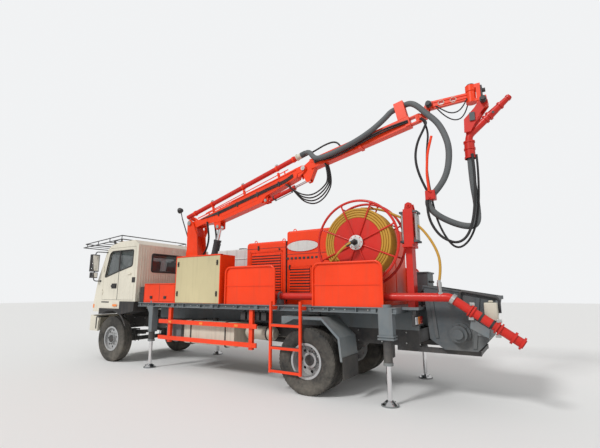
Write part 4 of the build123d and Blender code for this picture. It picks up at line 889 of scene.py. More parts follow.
class RIG_OT_chassis(bpy.types.Operator):
    """Deck gussets, bolts, reflectors, mud flaps, spring clamps, jack collars, lamps and valves"""

    bl_idname = "rig.chassis"
    bl_label = "Chassis trim"

    def execute(self, context):
        stations = np.arange(-1.3, 4.4, 0.475)
        gussets = [("box", (x - 0.005, 1.05, 1.283), (x + 0.005, 1.097, 1.347)) for x in stations]
        add("deck_gussets", "root", "grey_steel", gussets, both=True)
        bolts = [("pin", x, 1.315, 1.051, 1.062, 0.011, 6) for x in np.arange(-1.2, 4.4, 0.19)]
        bolts += [("pin", x, z, 0.467, 0.478, 0.012, 6) for x in np.arange(-1.4, 5.9, 0.4)
            for z in (0.8, 0.96)]
        add("frame_bolts", "root", "bare_steel", bolts, both=True, soft=True)
        marks = [("box", (x, 1.089, 0.955), (x + 0.09, 1.096, 1.0)) for x in (1.5, 2.4, 3.3)]
        add("side_reflectors", "root", "lamp_amber", marks, both=True, bevel=0.003)
        add("mud_flaps", "root", "black_plastic", [("box", (-0.66, 0.66, 0.3), (-0.648, 1.22, 0.62))],
            both=True, bevel=0.003)
        flare = [("plate",
            [(0.44, 1.19), (0.44, 1.04), (0.2, 1.15), (-0.3, 1.15), (-0.58, 0.88), (-0.62, 0.56),
            (-0.652, 0.56), (-0.612, 0.905), (-0.305, 1.192)], 1.226, 1.236)]
        add("guard_edges", "root", "grey_steel", flare, both=True, bevel=0.003)
        clamps = []
        for x0 in (0.0, WHEELBASE):
            z0, z1 = (0.6, 0.75) if x0 == 0 else (0.4, 0.7)
            for dx in (-0.09, 0.09):
                clamps += [("post", x0 + dx, y, z0, z1, 0.011, 10) for y in (0.382, 0.478)]
            clamps.append(("box", (x0 - 0.11, 0.375, z1 - 0.03), (x0 + 0.11, 0.485, z1 - 0.005)))
        add("spring_clamps", "root", "dark_steel", clamps, both=True)
        chambers = [("turned",
            [(0.001, -0.1), (0.06, -0.1), (0.085, -0.06), (0.085, 0.0), (0.092, 0.005), (0.092, 0.02),
            (0.085, 0.025), (0.07, 0.1), (0.001, 0.11)], (-0.18, 0.36, 0.58), "x", 28)]
        add("brake_chambers", "root", "dark_steel", chambers, both=True, soft=True)
        caps = [("post", x, JACK_Y, 1.358, 1.4, 0.075, 24) for x in JACK_XS]
        caps += [("turned", sleeve(0.062, 0.072, 0.0, 0.04), (x, JACK_Y, 0.545), "z", 32)
                 for x in JACK_XS]
        add("jack_collars", "root", "grey_steel", caps, both=True, soft=True)
        for node, x, y in (("front_left", JACK_XS[0], JACK_Y), ("front_right", JACK_XS[0], -JACK_Y),
                           ("rear_left", JACK_XS[1], JACK_Y), ("rear_right", JACK_XS[1], -JACK_Y)):
            rim = [("turned", sleeve(0.105, 0.124, 0.006, 0.022), (x, y, 0.0), "z", 40)]
            rim += studs((x, y, 0.05), 0.08, 4, "z", 0.014, 0.012, 6, start=45)
            add(f"jack_pad_{node}", f"jack_{node}", "grey_steel", rim, soft=True)
        add("tail_brackets", "root", "dark_steel",
            [("box", (-1.655, 0.6, 1.1), (-1.6, 0.8, 1.325)),
            ("box", (-1.665, 0.5, 1.09), (-1.62, 0.92, 1.25))], both=True, bevel=0.008)
        for name, y0, y1 in (("red", 0.52, 0.65), ("amber", 0.66, 0.77), ("clear", 0.78, 0.9)):
            add(f"tail_lamps_{name}", "root", f"lamp_{name}",
                [("box", (-1.676, y0, 1.115), (-1.66, y1, 1.225))], both=True, bevel=0.008)
        ladder = [("post", x, 1.26, 0.3, 1.42, 0.004, 6) for x in (0.06, 0.64)]
        ladder += [("box", (0.075, 1.24, z), (0.625, 1.281, z + 0.007)) for z in (0.344, 0.704, 1.064)]
        add("ladder_treads", "root", "dark_steel", ladder)
        valves = [("box", (0.95 + 0.16 * k, 0.86, 1.08), (1.06 + 0.16 * k, 0.98, 1.22)) for k in range(4)]
        valves += [("post", 1.0 + 0.16 * k, 0.92, 1.22, 1.3, 0.02, 12) for k in range(4)]
        add("valve_bank", "root", "dark_steel", valves, both=True, bevel=0.004)
        return {"FINISHED"}


def on_pipe(run):
    """A point of the delivery pipe's last run, from its bend at 0 to its open end at 1."""
    return tuple(PIPE_BEND + run * (PIPE_END - PIPE_BEND))


class RIG_OT_reel(bpy.types.Operator):
    """Hose turns on the drum, the hub with its swivel, and the roller guide"""

    bl_idname = "rig.reel"
    bl_label = "Hose reel and guide"

    def execute(self, context):
        x, y, z = REEL
        pitch = 0.0385
        turns = [("ring", (x, 0.637 + pitch * k, z), r, 0.0192, 96, 8) for r in (0.43, 0.47, 0.51, 0.5505)
            for k in range(8) if k == 7 or k == 0 or r > 0.54]
        turns.append(("turned", [(0.411, -0.125), (0.548, -0.125), (0.548, 0.135), (0.411, 0.135)], REEL, "y",
            64))
        coil = add("hose_turns", "reel", "yellow_hose", turns, soft=True)
        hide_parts("hose_coil")
        hub = [("turned",
            [(0.042, 0.0), (0.115, 0.0), (0.12, 0.01), (0.12, 0.022), (0.09, 0.03), (0.075, 0.05),
            (0.042, 0.05)], (x, 0.944, z), "y", 48)]
        add("reel_hub", "reel", "pale_steel", hub, soft=True)
        stays = studs((x, 0.96, z), 0.1, 8, "y", 0.015, 0.009, 6)
        for ring_y in REEL_RINGS:
            stays += studs((x, ring_y - 0.02, z), 0.675, 8, "y", 0.04, 0.017, 8, start=SPOKE_START)
        ring_gap = REEL_RINGS[1] - REEL_RINGS[0]
        stays += studs((x, REEL_RINGS[0], z), 0.62, 8, "y", ring_gap, 0.011, 10, start=SPOKE_START)
        add("reel_stays", "reel", "red_steel", stays, soft=True)
        swivel = [("pin", x, z, 0.968, 1.04, 0.036, 24), ("pin", x, z, 1.0, 1.02, 0.052, 6),
                  ("pipe", [(x, 1.02, z), (x, 1.085, z), (x + 0.09, 1.118, z - 0.055)], 0.026, 0.06),
                  ("bar", (x + 0.05, 1.098, z - 0.032), (x + 0.1, 1.118, z - 0.062), 0.033, 6)]
        add("reel_swivel", "reel", "black_plastic", swivel, soft=True)
        rollers = [("pin", fx, gz, 0.7, 0.84, 0.03, 20) for fx in (-1.72, -1.54) for gz in (2.37, 2.74)]
        rollers += [("post", fx, gy, 2.36, 2.75, 0.026, 20) for fx in (-1.73, -1.53) for gy in (0.715, 0.825)]
        add("guide_rollers", "root", "bare_steel", rollers, soft=True)
        cage = [("box", (fx, 0.665, gz), (fx + 0.012, 0.875, gz + 0.03)) for fx in (-1.765, -1.507)
            for gz in (2.32, 2.77)]
        cage += [("box", (-1.765, gy, gz), (-1.495, gy + 0.012, gz + 0.03)) for gy in (0.655, 0.873)
            for gz in (2.32, 2.77)]
        add("guide_cage", "root", "slate_steel", cage, bevel=0.003)
        head = [("plate", [(-1.7, 2.83), (-1.56, 2.83), (-1.58, 2.93), (-1.68, 2.93)], 0.7, 0.715),
                ("plate", [(-1.7, 2.83), (-1.56, 2.83), (-1.58, 2.93), (-1.68, 2.93)], 0.825, 0.84),
                ("pin", -1.63, 2.9, 0.69, 0.85, 0.045, 24), ("pin", -1.63, 2.9, 0.67, 0.87, 0.015, 12)]
        head += [("plate", [(-1.64, 2.25), (-1.54, 2.25), (-1.54, 2.05)], gy, gy + 0.01)
            for gy in (0.585, 0.765)]
        head += [("box", (-1.642, 0.578, gz), (-1.538, 0.782, gz + 0.012)) for gz in (1.5, 1.75, 2.0)]
        head += [("plate", [(-0.86, 2.36), (-0.74, 2.36), (-0.55, 1.362), (-1.05, 1.362)], 0.512, 0.524)]
        add("guide_head", "root", "red_steel", head, bevel=0.003)
        return {"FINISHED"}


class RIG_OT_rear(bpy.types.Operator):
    """Hopper rim and grid, agitator motor, pipe clamps, cradle, oil box and rails at the rear"""

    bl_idname = "rig.rear"
    bl_label = "Pump and pipe"

    def execute(self, context):
        (xa, za), (xb, zb) = HOPPER_RIM
        slope = (zb - za) / (xb - xa)
        rim = [("plate", [(xa, za), (xb, zb), (xb, zb + 0.025), (xa, za + 0.025)], y, y + 0.035)
            for y in (-0.575, 0.54)]
        rim += [("box", (xb - 0.02, -0.575, zb - 0.03), (xb + 0.01, 0.575, zb + 0.028)),
                ("box", (xa - 0.01, -0.575, za - 0.03), (xa + 0.015, 0.575, za + 0.026))]
        rim += [("plate", [(-1.85, 1.55), (-1.8, 1.55), (-1.86, 0.92), (-1.91, 0.92)], y, y + 0.02)
            for y in (-0.58, 0.56)]
        rim += [("plate", [(-2.5, 1.5), (-2.45, 1.5), (-2.36, 0.8), (-2.41, 0.8)], y, y + 0.02)
            for y in (-0.58, 0.56)]
        add("hopper_rim", "root", "slate_steel", rim, bevel=0.004)
        grid = [("pin", x, za + slope * (x - xa) - 0.03, -0.545, 0.545, 0.008, 8)
                for x in np.linspace(xa - 0.08, xb + 0.08, 12)]
        grid += [("bar", (xa - 0.01, y, za - 0.045), (xb + 0.02, y, zb - 0.045), 0.01, 8)
            for y in np.linspace(-0.45, 0.45, 6)]
        add("hopper_grid", "root", "dark_steel", grid, soft=True)
        motor = [("pin", *AGITATOR, 0.558, 0.6, 0.15, 36), ("pin", *AGITATOR, 0.6, 0.7, 0.115, 36),
                 ("pin", *AGITATOR, 0.7, 0.75, 0.07, 24), ("pin", *AGITATOR, -0.62, -0.558, 0.13, 36)]
        motor += studs((AGITATOR[0], 0.6, AGITATOR[1]), 0.132, 8, "y", 0.012, 0.011, 6)
        add("agitator_motor", "root", "slate_steel", motor, soft=True)
        ends = ((0.05, 0.078, 0.05, "bare_steel"), (0.3, 0.084, 0.022, "red_steel"),
            (0.335, 0.084, 0.022, "red_steel"), (0.66, 0.084, 0.022, "red_steel"),
            (0.7, 0.084, 0.022, "red_steel"), (0.975, 0.085, 0.024, "red_steel"),
            (0.45, 0.064, 0.03, "black_plastic"), (0.6, 0.064, 0.03, "black_plastic"))
        span = float(np.linalg.norm(PIPE_END - PIPE_BEND))
        for k, (run, r, wide, material) in enumerate(ends):
            half = wide / 2 / span
            add(f"pipe_ring_{k}", "root", material,
                [("bar", on_pipe(run - half), on_pipe(run + half), r, 32)], soft=True)
        bolts = []
        for run in (0.3175, 0.68):
            px, py, pz = on_pipe(run)
            bolts += [("box", (px - 0.045, py - 0.02, pz + 0.075), (px + 0.02, py + 0.02, pz + 0.115)),
                      ("box", (px - 0.02, py - 0.02, pz - 0.115), (px + 0.045, py + 0.02, pz - 0.075))]
        add("pipe_clamp_lugs", "root", "bare_steel", bolts, bevel=0.004)
        cradle = [("box", (-2.46, 0.56, 1.1), (-2.42, 0.84, 1.14)),
            ("box", (-2.57, 0.56, 1.0), (-2.53, 0.84, 1.04)),
            ("plate", [(-2.4, 1.25), (-2.62, 1.1), (-2.6, 0.98), (-2.38, 1.1)], 0.83, 0.85),
            ("box", (-2.6, 0.56, 0.98), (-2.38, 0.575, 1.25))]
        add("pipe_cradle", "root", "grey_steel", cradle, bevel=0.004)
        add("oil_box", "root", "tank_steel",
            [("box", (-2.72, 0.585, 1.15), (-2.56, 0.76, 1.44)), ("post", -2.64, 0.67, 1.44, 1.47, 0.03, 20)],
            bevel=0.012)
        rails = [("pipe", [(-2.24, 0.6, 1.4), (-2.24, 0.6, 1.6), (-2.74, 0.6, 1.5), (-2.74, 0.6, 1.3)], 0.018,
            0.06), ("pipe",
            [(-1.66, 0.45, 1.36), (-1.66, 0.45, 1.6), (-1.66, -0.45, 1.6), (-1.66, -0.45, 1.36)], 0.016,
            0.07), ("pin", -1.66, 1.48, -0.45, 0.45, 0.012, 12)]
        add("rear_rails", "root", "dark_steel", rails, soft=True)
        stand = [("box", (-1.62, -0.62, 1.362), (-1.3, -0.2, 1.92)),
            ("box", (-1.64, -0.64, 1.9), (-1.28, -0.18, 1.93))]
        add("control_cabinet", "root", "grey_steel", stand, bevel=0.01)
        knobs = [("bar", (-1.622, -0.55 + 0.07 * k, z), (-1.645, -0.55 + 0.07 * k, z), 0.016, 16)
            for k in range(5) for z in (1.66, 1.76)]
        add("control_knobs", "root", "black_plastic", knobs, soft=True)
        clamps = [("bar", (x, 0.87, 1.51), (x + 0.03, 0.87, 1.51), 0.083, 32)
            for x in (-1.05, -0.2, 0.7, 1.5)]
        clamps += [("box", (x - 0.02, 0.8, 1.361), (x + 0.05, 0.94, 1.455)) for x in (-1.05, -0.2, 0.7, 1.5)]
        joint = [("bar", (-2.02, 0.87, 1.75), (-2.03, 0.87, 1.54), 0.024, 20),
            ("bar", (-2.021, 0.87, 1.72), (-2.024, 0.87, 1.66), 0.034, 6),
            ("post", -2.03, 0.87, 1.58, 1.54, 0.045, 24)]
        add("lead_hose_fitting", "root", "bare_steel", joint, soft=True)
        add("deck_pipe_clamps", "root", "grey_steel", clamps, bevel=0.003)
        return {"FINISHED"}


def boom_place(pin, degrees, along, above):
    """A point of a boom that rises backwards: along its pin line, then above it, both turned by its angle."""
    a = math.radians(degrees)
    return (pin[0] - along * math.cos(a) + above * math.sin(a),
        pin[1] + along * math.sin(a) + above * math.cos(a))


FOLD_PIN = boom_place(BOOM_PIN, LOWER_ANGLE, LOWER_LENGTH, 0)


def lower(along, above, y=0.0):
    """A point by the lower boom: metres along it, above its pin line and across."""
    x, z = boom_place(BOOM_PIN, LOWER_ANGLE, along, above)
    return (x, y, z)


def upper(along, above, y=0.0):
    """A point by the upper boom: metres along it, above its pin line and across."""
    x, z = boom_place(FOLD_PIN, UPPER_ANGLE, along, above)
    return (x, y, z)


def boom_box(place, s, y, t):
    """A block whose sides run with a boom: limits along it, across it and above its pin line."""
    corners = [place(a, b)[::2] for a, b in ((s[0], t[0]), (s[1], t[0]), (s[1], t[1]), (s[0], t[1]))]
    return ("plate", corners, y[0], y[1])


class RIG_OT_boom(bpy.types.Operator):
    """Pins, gussets, clamps, ports, lamps, slew bolts and the spray head's motors"""

    bl_idname = "rig.boom"
    bl_label = "Boom fittings"

    def execute(self, context):
        pins = [("pin", *BOOM_PIN, 0.166, 0.182, 0.055, 28), ("pin", *BOOM_PIN, 0.182, 0.19, 0.02, 6),
                ("pin", *LIFT_BASE, 0.105, 0.12, 0.045, 24)]
        add("turret_pin_caps", "turret", "bare_steel", pins, both=True, soft=True)
        bolts = studs((SLEW_X, 0, 1.568), 0.275, 20, "z", 0.024, 0.014, 6)
        add("slew_bolts", "turret", "bare_steel", bolts, soft=True)
        ring = [("turned", sleeve(0.3, 0.318, 0.0, 0.03), (SLEW_X, 0, 1.505), "z", 72)]
        ring += [("box", (3.98, 0.148, 1.6), (4.02, 0.16, 2.28)),
            ("plate", [(3.62, 1.57), (3.54, 1.57), (3.64, 2.1)], 0.146, 0.2)]
        ring += [("box", (3.74, 0.145, 1.75), (3.92, 0.152, 2.2))]
        add("turret_ribs", "turret", "orange_steel", ring)
        add("slew_motor", "turret", "dark_steel", [("post", 3.98, -0.22, 1.572, 1.86, 0.075, 28),
                                                     ("post", 3.98, -0.22, 1.7, 1.73, 0.09, 28)], soft=True)
        lamp = [("bar", (4.05, 0.1, 2.9), (4.3, 0.1, 3.42), 0.014, 10),
            ("bar", (4.3, 0.1, 3.42), (4.36, 0.1, 3.6), 0.012, 10),
            ("turned", [(0.001, -0.05), (0.05, -0.045), (0.075, 0.02), (0.075, 0.04), (0.001, 0.045)],
            (4.38, 0.1, 3.64), "x", 28)]
        add("boom_lamp", "turret", "dark_steel", lamp, soft=True)
        plates = [boom_box(lower, (3.2, 3.4), (0.1, 0.108), (-0.06, 0.05)),
            boom_box(lower, (0.1, 0.55), (0.098, 0.106), (-0.16, 0.0)),
            boom_box(lower, (1.0, 2.1), (0.098, 0.104), (-0.2, -0.1)),
            boom_box(lower, (2.35, 2.75), (0.098, 0.104), (-0.15, 0.02))]
        plates += [boom_box(lower, (s, s + 0.012), (-0.104, 0.104), (-0.27, 0.04)) for s in (0.98, 2.12)]
        plates += [boom_box(lower, (0.25, 3.2), (0.097, 0.112), (0.035, 0.06))]
        add("lower_boom_plates", "lower_boom", "orange_steel", plates, both=True, bevel=0.003)
        bars = [("pin", *FOLD_PIN, 0.112, 0.128, 0.048, 24), ("pin", *FOLD_PIN, 0.128, 0.136, 0.018, 6)]
        for s, t, r in ((0.82, -0.38, 0.042), (2.29, -0.292, 0.032)):
            bars.append(("bar", lower(s, t, 0.09), lower(s, t, 0.112), r, 24))
        add("lower_boom_pins", "lower_boom", "bare_steel", bars, both=True, soft=True)
        add("line_paint", "lower_boom", "red_steel",
            [("bar", lower(-0.18, 0.2503), lower(3.24, 0.3471), 0.0545, 40)], soft=True)
        rows = [("bar", lower(3.236, 0.347), lower(3.262, 0.3475), 0.072, 28),
            ("bar", lower(3.262, 0.3475), lower(3.36, 0.35), 0.058, 28)]
        add("line_fitting", "lower_boom", "tank_steel", rows, soft=True)
        ribs = [("bar", lower(3.352 + 0.022 * k, 0.35), lower(3.366 + 0.022 * k, 0.3505), 0.062, 24)
            for k in range(5)]
        add("line_ferrule", "lower_boom", "slate_steel",
            ribs + [("bar", lower(3.35, 0.35), lower(3.47, 0.353), 0.056, 24)], soft=True)
        clamp = []
        for s in (0.7, 1.7, 2.7):
            t = LINE_LOW + LINE_SLOPE * (s - LINE_START)
            clamp += [boom_box(lower, (s - 0.03, s + 0.03), (-0.018, 0.018), (t + 0.05, t + 0.095)),
                      boom_box(lower, (s - 0.012, s + 0.012), (-0.024, 0.024), (t + 0.062, t + 0.082))]
        add("line_clamps", "lower_boom", "bare_steel", clamp, bevel=0.003)
        tubes = [("pipe",
            [lower(0.35, -0.02, y), lower(1.0, -0.04 - d, y), lower(2.9, -0.06 - d, y),
            lower(3.1, -0.02 - d, y)], 0.0075, 0.1, 8)
            for y, d in ((0.112, 0.0), (0.112, 0.02), (0.112, 0.04), (0.112, 0.06))]
        tubes += [boom_box(lower, (s, s + 0.03), (0.1, 0.122), (-0.14, -0.03)) for s in (0.9, 1.5, 2.1, 2.7)]
        add("boom_tubes", "lower_boom", "dark_steel", tubes, soft=True)
        blocks = [boom_box(upper, (0.28, 0.46), (0.088, 0.13), (0.0, 0.11)),
            boom_box(upper, (0.3, 0.33), (0.13, 0.15), (0.02, 0.09)),
            boom_box(upper, (0.38, 0.41), (0.13, 0.15), (0.02, 0.09))]
        add("upper_valve_block", "upper_boom", "dark_steel", blocks, bevel=0.004)
        pads = [boom_box(upper, (s, s + 0.05), (0.087, 0.1), (-0.04, 0.1)) for s in (0.55, 0.9, 1.18)]
        pads += [boom_box(upper, (0.2, 1.25), (0.087, 0.093), (0.045, 0.055)),
            boom_box(upper, (1.262, 1.3), (0.098, 0.112), (-0.06, 0.12))]
        pads += [boom_box(upper, (s, s + 0.02), (-0.02, 0.02), (0.146, 0.156)) for s in (1.265, 1.285)]
        add("upper_boom_ribs", "upper_boom", "orange_steel", pads, both=True, bevel=0.003)
        slide = [boom_box(upper, (1.4, 2.24), (0.078, 0.083), (0.02, 0.04)),
            boom_box(upper, (2.2, 2.288), (0.078, 0.09), (-0.06, 0.11))]
        add("slide_strips", "boom_slide", "orange_steel", slide, both=True, bevel=0.002)
        bracket = [boom_box(upper, (2.09, 2.27), (y, y + 0.012), (0.12, 0.47)) for y in (-0.082, 0.07)]
        bracket += [boom_box(upper, (2.09, 2.27), (-0.082, 0.082), (0.462, 0.474)),
            ("bar", upper(2.18, 0.474), upper(2.18, 0.51), 0.02, 12)]
        add("ring_bracket", "boom_slide", "orange_steel", bracket, bevel=0.004)
        motors = [("pin", *TIP_PIN, 0.062, 0.12, 0.055, 28), ("pin", *TIP_PIN, 0.12, 0.16, 0.04, 24),
                  ("pin", *TIP_PIN, -0.1, -0.062, 0.04, 24)]
        add("wrist_motor", "wrist", "dark_steel", motors, soft=True)
        tip = [("plate", [(-1.95, 4.875), (-2.5, 4.865), (-2.5, 4.872), (-1.95, 4.885)], -0.045, 0.045),
               ("plate", [(-1.95, 4.81), (-2.5, 4.82), (-2.5, 4.813), (-1.95, 4.8)], -0.045, 0.045)]
        add("tip_arm_flanges", "tip_arm", "orange_steel", tip, bevel=0.002)
        holes = [("ring", (TIP_PIN[0] - d, 0.034, TIP_PIN[1]), 0.048, 0.007, 32, 8) for d in (0.2, 0.4)]
        add("tip_arm_hole_rims", "tip_arm", "tank_steel", holes, soft=True)
        head = [("post", -2.56, 0, 5.02, 5.046, 0.06, 28), ("pin", *NOZZLE_PIN, 0.12, 0.2, 0.05, 28),
            ("pin", *NOZZLE_PIN, 0.2, 0.235, 0.036, 20), ("box", (-2.735, -0.05, 4.8), (-2.69, 0.05, 4.98))]
        head += [("bar", (-2.7, 0.0, 4.9), (-2.78, 0.0, 4.9), 0.035, 20)]
        add("head_motors", "head", "dark_steel", head, soft=True)
        aim = unit(NOZZLE_TIP - np.array((SLEEVE_X, 0, 4.145)))
        rings = [("bar", tuple(NOZZLE_TIP - aim * a), tuple(NOZZLE_TIP - aim * (a + 0.03)), r, 28)
                 for a, r in ((0.02, 0.052), (0.18, 0.066), (0.4, 0.079), (0.47, 0.074))]
        rings += [("post", SLEEVE_X, 0, z, z + 0.03, 0.09, 32) for z in (3.75, 3.9, 4.02)]
        rings += [("pin", *NOZZLE_PIN, s * 0.102, s * 0.115, 0.045, 24) for s in (1, -1)]
        add("nozzle_rings", "nozzle", "red_steel", rings, soft=True)
        inlet = [("bar", tuple(NOZZLE_TIP - aim * 0.33),
            tuple(NOZZLE_TIP - aim * 0.33 + np.array((0, 0.12, -0.05))), 0.02, 16),
            ("box", (-2.6, 0.1, 4.36), (-2.52, 0.13, 4.5))]
        add("nozzle_inlet", "nozzle", "slate_steel", inlet, soft=True)
        for name, base, end, r, length in (("lift", LIFT_BASE, lower(0.82, -0.38), 0.082, 1.13),
                                           ("fold", lower(2.29, -0.292), upper(-0.03, -0.26), 0.046, 0.74)):
            base, end = np.array((base[0], 0, base[-1])), np.array(end)
            run = unit(end - base)
            side = np.array((-run[2], 0, run[0]))
            ports = [("bar", tuple(base + run * a + side * r * 0.8),
                tuple(base + run * a + side * (r + 0.035)), 0.018, 14) for a in (0.2, length - 0.1)]
            ports.append(("pipe",
                [tuple(base + run * 0.2 + side * (r + 0.03)),
                tuple(base + run * (length - 0.12) + side * (r + 0.03))], 0.008, 0.02, 8))
            ports.append(("bar", tuple(base + run * 0.16), tuple(base + run * 0.19), r + 0.006, 28))
            add(f"{name}_ports", f"{name}_barrel", "dark_steel", ports, soft=True)
        hang = [("pipe",
            [(-1.915, 0.205, 4.2), (-1.83, 0.205, 3.9), (-1.8, 0.205, 3.55), (-1.82, 0.205, 3.24)], 0.022,
            0.1)]
        add("hanging_rod", "wrist", "orange_steel", hang, soft=True)
        grip = [("box", (-1.91, 0.065, 3.1), (-1.75, 0.205, 3.26)),
            ("pin", -1.84, 3.225, 0.05, 0.22, 0.018, 12), ("pin", -1.82, 3.135, 0.05, 0.22, 0.018, 12)]
        add("hose_grip", "wrist", "red_steel", grip, bevel=0.01)
        return {"FINISHED"}


def length_of(route):
    """Length of a hose's smooth curve: quadratic arcs between the middles of its runs."""
    pts = np.array(route, float)
    joins = (pts[:-1] + pts[1:]) / 2
    joins[0], joins[-1] = pts[0], pts[-1]
    t = np.linspace(0, 1, 33)[:, None, None]
    arcs = (1 - t) ** 2 * joins[:-1] + 2 * t * (1 - t) * pts[1:-1] + t**2 * joins[1:]
    return float(np.linalg.norm(np.diff(arcs, axis=0), axis=-1).sum())


def hose_curve(name, route, radius, material, body, lay, node=None, **says):
    """A smooth NURBS hose; one across the telescope is made a mesh along that spline."""
    curve = bpy.data.curves.new(name, "CURVE")
    curve.dimensions = "3D"
    curve.bevel_depth = radius
    curve.bevel_resolution = 6 if radius > 0.03 else 3
    curve.resolution_u = 10
    curve.use_fill_caps = True
    spline = curve.splines.new("NURBS")
    spline.points.add(len(route) - 1)
    for point, where in zip(spline.points, at(route)):
        point.co = (*where, 1.0)
    spline.order_u = 3
    spline.use_endpoint_u = True
    curve.materials.append(MATERIALS[material])
    obj = bpy.data.objects.new(name, curve)
    scene = bpy.context.scene
    scene.collection.objects.link(obj)
    if name in SLIDING:
        mesh = bpy.data.meshes.new_from_object(obj.evaluated_get(bpy.context.evaluated_depsgraph_get()))
        curve.bevel_depth = 0.0
        line = bpy.data.meshes.new_from_object(obj.evaluated_get(bpy.context.evaluated_depsgraph_get()))
        says["path"] = [tuple(v.co) for v in line.vertices]
        bpy.data.objects.remove(obj)
        obj = bpy.data.objects.new(name, mesh)
        scene.collection.objects.link(obj)
        mesh.shade_smooth()
        tuple(at([upper(0.75, 0.1)])[0])
        tuple(at([upper(1.95, 0.1)])[0])
        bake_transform(obj)
    else:
        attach(obj, body)
    if node:
        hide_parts(node)
    tuple(at([route[0]])[0])
    length_of(route)
    return obj


# The concrete hose from its ring on the telescope, round the low loop and up to the nozzle
NOZZLE_LOOP = [(-1.52, 0.02, 5.0), (-1.67, 0.12, 4.88), (-1.84, 0.135, 4.66), (-2.03, 0.14, 4.44),
    (-2.15, 0.145, 4.12), (-2.175, 0.145, 3.85), (-2.11, 0.14, 3.5), (-1.94, 0.135, 3.26),
    (-1.77, 0.13, 3.13), (-1.79, 0.12, 2.97), (-1.95, 0.08, 2.8), (-2.27, 0.03, 2.63), (-2.5, 0.01, 2.62),
    (-2.51, 0, 2.95), (-2.47, 0, 3.35), (-2.47, 0, 3.75)]

# Black hydraulic hoses: name, radius, body, lay and the points
HYDRAULIC = [("wrist_hose_a", 0.021, "wrist", "hanging",
    [(-1.72, 0.07, 4.62), (-1.85, 0.16, 4.52), (-1.8, 0.17, 4.39), (-1.66, 0.18, 4.14), (-1.61, 0.18, 3.84),
    (-1.68, 0.17, 3.5), (-1.78, 0.16, 3.265)]),
    ("wrist_hose_b", 0.017, "wrist", "hanging",
    [(-1.74, 0.085, 4.63), (-1.86, 0.1, 4.4), (-1.8, 0.1, 4.0), (-1.78, 0.1, 3.6), (-1.82, 0.1, 3.265)]),
    ("wrist_hose_c", 0.021, "wrist", "hanging",
    [(-1.78, 0.18, 3.095), (-1.77, 0.2, 2.95), (-1.81, 0.2, 2.72), (-1.91, 0.2, 2.53), (-2.02, 0.2, 2.42),
    (-2.19, 0.19, 2.34), (-2.34, 0.17, 2.42), (-2.44, 0.15, 2.64), (-2.5, 0.13, 3.0), (-2.53, 0.1, 3.5),
    (-2.51, 0.09, 3.8)]),
    ("wrist_hose_d", 0.017, "wrist", "hanging",
    [(-1.84, 0.08, 3.095), (-1.87, 0.07, 2.83), (-2.01, 0.06, 2.45), (-2.18, 0.06, 2.25), (-2.39, 0.07, 2.4),
    (-2.53, 0.05, 2.8), (-2.575, 0.03, 3.5), (-2.565, 0.02, 3.8)]),
    ("head_hose_a", 0.011, "tip_arm", "hanging",
    [(-1.99, 0.05, 4.8), (-2.08, 0.09, 4.7), (-2.25, 0.1, 4.56), (-2.42, 0.1, 4.6), (-2.5, 0.08, 4.78)]),
    ("head_hose_b", 0.011, "tip_arm", "hanging",
    [(-1.99, -0.05, 4.8), (-2.08, -0.09, 4.66), (-2.28, -0.1, 4.5), (-2.44, -0.1, 4.58),
    (-2.5, -0.08, 4.78)]),
    ("boom_side_hose_a", 0.018, "upper_boom", "loose",
    [upper(0.4, 0.05, 0.1), upper(0.62, -0.03, 0.13), upper(0.95, -0.01, 0.13), upper(1.4, 0.03, 0.13),
    upper(1.9, 0.06, 0.12), upper(2.26, 0.03, 0.095)]),
    ("boom_side_hose_b", 0.014, "upper_boom", "loose",
    [upper(0.32, 0.04, 0.1), upper(0.62, -0.07, 0.14), upper(0.95, -0.06, 0.13), upper(1.4, -0.01, 0.13),
    upper(1.9, 0.02, 0.12), upper(2.26, 0.0, 0.095)]),
    ("boom_top_hose", 0.018, "upper_boom", "loose",
    [lower(3.15, 0.345, -0.08), (0.6, -0.12, 4.52), (0.3, -0.13, 4.64), (0.05, -0.13, 4.66),
    (-0.08, -0.12, 4.5), (-0.12, -0.1, 4.37)])]
HYDRAULIC += [(f"fold_loop_{k}", 0.015, "lower_boom", "hanging",
    [lower(2.88, -0.16, 0.115 - 0.06 * k), (0.93, 0.13 - 0.07 * k, 3.69 - 0.035 * k),
    (0.74, 0.13 - 0.07 * k, 3.56 - 0.045 * k), (0.49, 0.13 - 0.07 * k, 3.5 - 0.045 * k),
    (0.25, 0.13 - 0.07 * k, 3.6 - 0.03 * k), (0.1, 0.08 - 0.05 * k, 3.8), (0.2, 0.075 - 0.05 * k, 4.145)])
    for k in range(4)]
HYDRAULIC += [
    (f"turret_hose_{k}", 0.012, "turret", "hanging",
     [(3.61, y, 2.32), (3.4, y, 2.5), (3.3, y, 2.8), (3.34, y, 3.05), lower(0.55, -0.16, y)])
    for k, y in enumerate((0.112, 0.14, -0.112, -0.14))
]
# Hoses that span the telescope, made into meshes along their splines
SLIDING = {"boom_hose_run", "boom_side_hose_a", "boom_side_hose_b"}


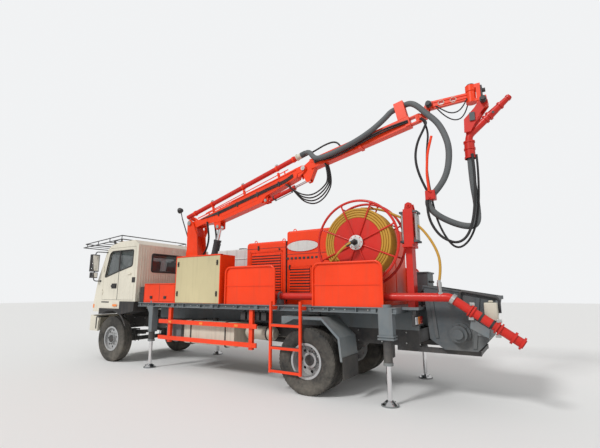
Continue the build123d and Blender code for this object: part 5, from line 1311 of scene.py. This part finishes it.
class RIG_OT_hoses(bpy.types.Operator):
    """The concrete hoses, the yellow hose off the reel and the black hydraulic hoses"""

    bl_idname = "rig.hoses"
    bl_label = "Hoses"

    def execute(self, context):
        s = sizes()
        run = [lower(3.46, 0.353), (0.6, 0.03, 4.5), (0.45, 0.12, 4.31), (0.318, 0.158, 4.24),
            (0.045, 0.158, 4.275), (-0.284, 0.158, 4.358), (-0.6, 0.158, 4.462), (-0.88, 0.15, 4.6),
            (-1.1, 0.08, 4.8), upper(2.0, RING_HEIGHT), upper(2.085, RING_HEIGHT)]
        hose_curve("boom_hose_run", run, s.hose_radius, "grey_hose", "upper_boom", "loose", "boom_hose")
        route = [upper(2.275, RING_HEIGHT)] + NOZZLE_LOOP
        hose_curve("nozzle_hose_run", route, s.hose_radius, "grey_hose", "wrist", "hanging", "nozzle_hose",
                   with_pieces=[bpy.data.objects["hose_grip"]])
        top = REEL[2] + 0.57 + s.yellow_radius + 0.0003
        route = [(-0.82, 0.765, top), (-1.13, 0.765, top - 0.025), (-1.47, 0.785, 2.74), (-1.76, 0.795, 2.6),
                 (-1.99, 0.805, 2.25), (-2.06, 0.815, 1.95), (-2.02, 0.87, 1.72)]
        hose_curve("lead_hose_run", route, s.yellow_radius, "yellow_hose", "root", "hanging", "lead_hose")
        x, y, z = REEL
        feed = [(x, 0.985, z), (x, 1.1, z), (x + 0.11, 1.14, z - 0.07), (x + 0.27, 1.06, z - 0.17),
            (x + 0.4, 0.965, z - 0.26), (x + 0.45, 0.935, z - 0.285)]
        hose_curve("swivel_hose_run", feed, s.yellow_radius, "yellow_hose", "reel", "hanging")
        for name, radius, body, lay, route in HYDRAULIC:
            hose_curve(name, route, radius, "black_hose", body, lay)
        return {"FINISHED"}


CLASSES = [RigSizes, RIG_OT_stage, RIG_OT_finishes, RIG_OT_tyres, RIG_OT_cab, RIG_OT_superstructure,
    RIG_OT_chassis, RIG_OT_reel, RIG_OT_rear, RIG_OT_boom, RIG_OT_hoses]
STEPS = ["stage", "finishes", "tyres", "cab", "superstructure", "chassis", "reel", "rear", "boom", "hoses"]


class RIG_PT_panel(bpy.types.Panel):
    """Lists the rig's operators and sizes"""

    bl_label = "Spraying rig"
    bl_idname = "RIG_PT_panel"
    bl_space_type = "VIEW_3D"
    bl_region_type = "UI"
    bl_category = "Spraying rig"

    def draw(self, context):
        for name in RigSizes.__annotations__:
            self.layout.prop(context.scene.rig_sizes, name)
        for step in STEPS:
            self.layout.operator(f"rig.{step}")


def register():
    """Adds the classes and the scene's sizes."""
    for cls in CLASSES + [RIG_PT_panel]:
        bpy.utils.register_class(cls)
    bpy.types.Scene.rig_sizes = PointerProperty(type=RigSizes)


def unregister():
    """Takes out what register adds."""
    del bpy.types.Scene.rig_sizes
    for cls in reversed(CLASSES + [RIG_PT_panel]):
        bpy.utils.unregister_class(cls)


def main():
    for obj in list(bpy.data.objects):
        if obj.name in ("Cube", "Light", "Camera"):
            bpy.data.objects.remove(obj)
    register()
    for step in STEPS:
        getattr(bpy.ops.rig, step)()


if __name__ == "__main__":
    main()
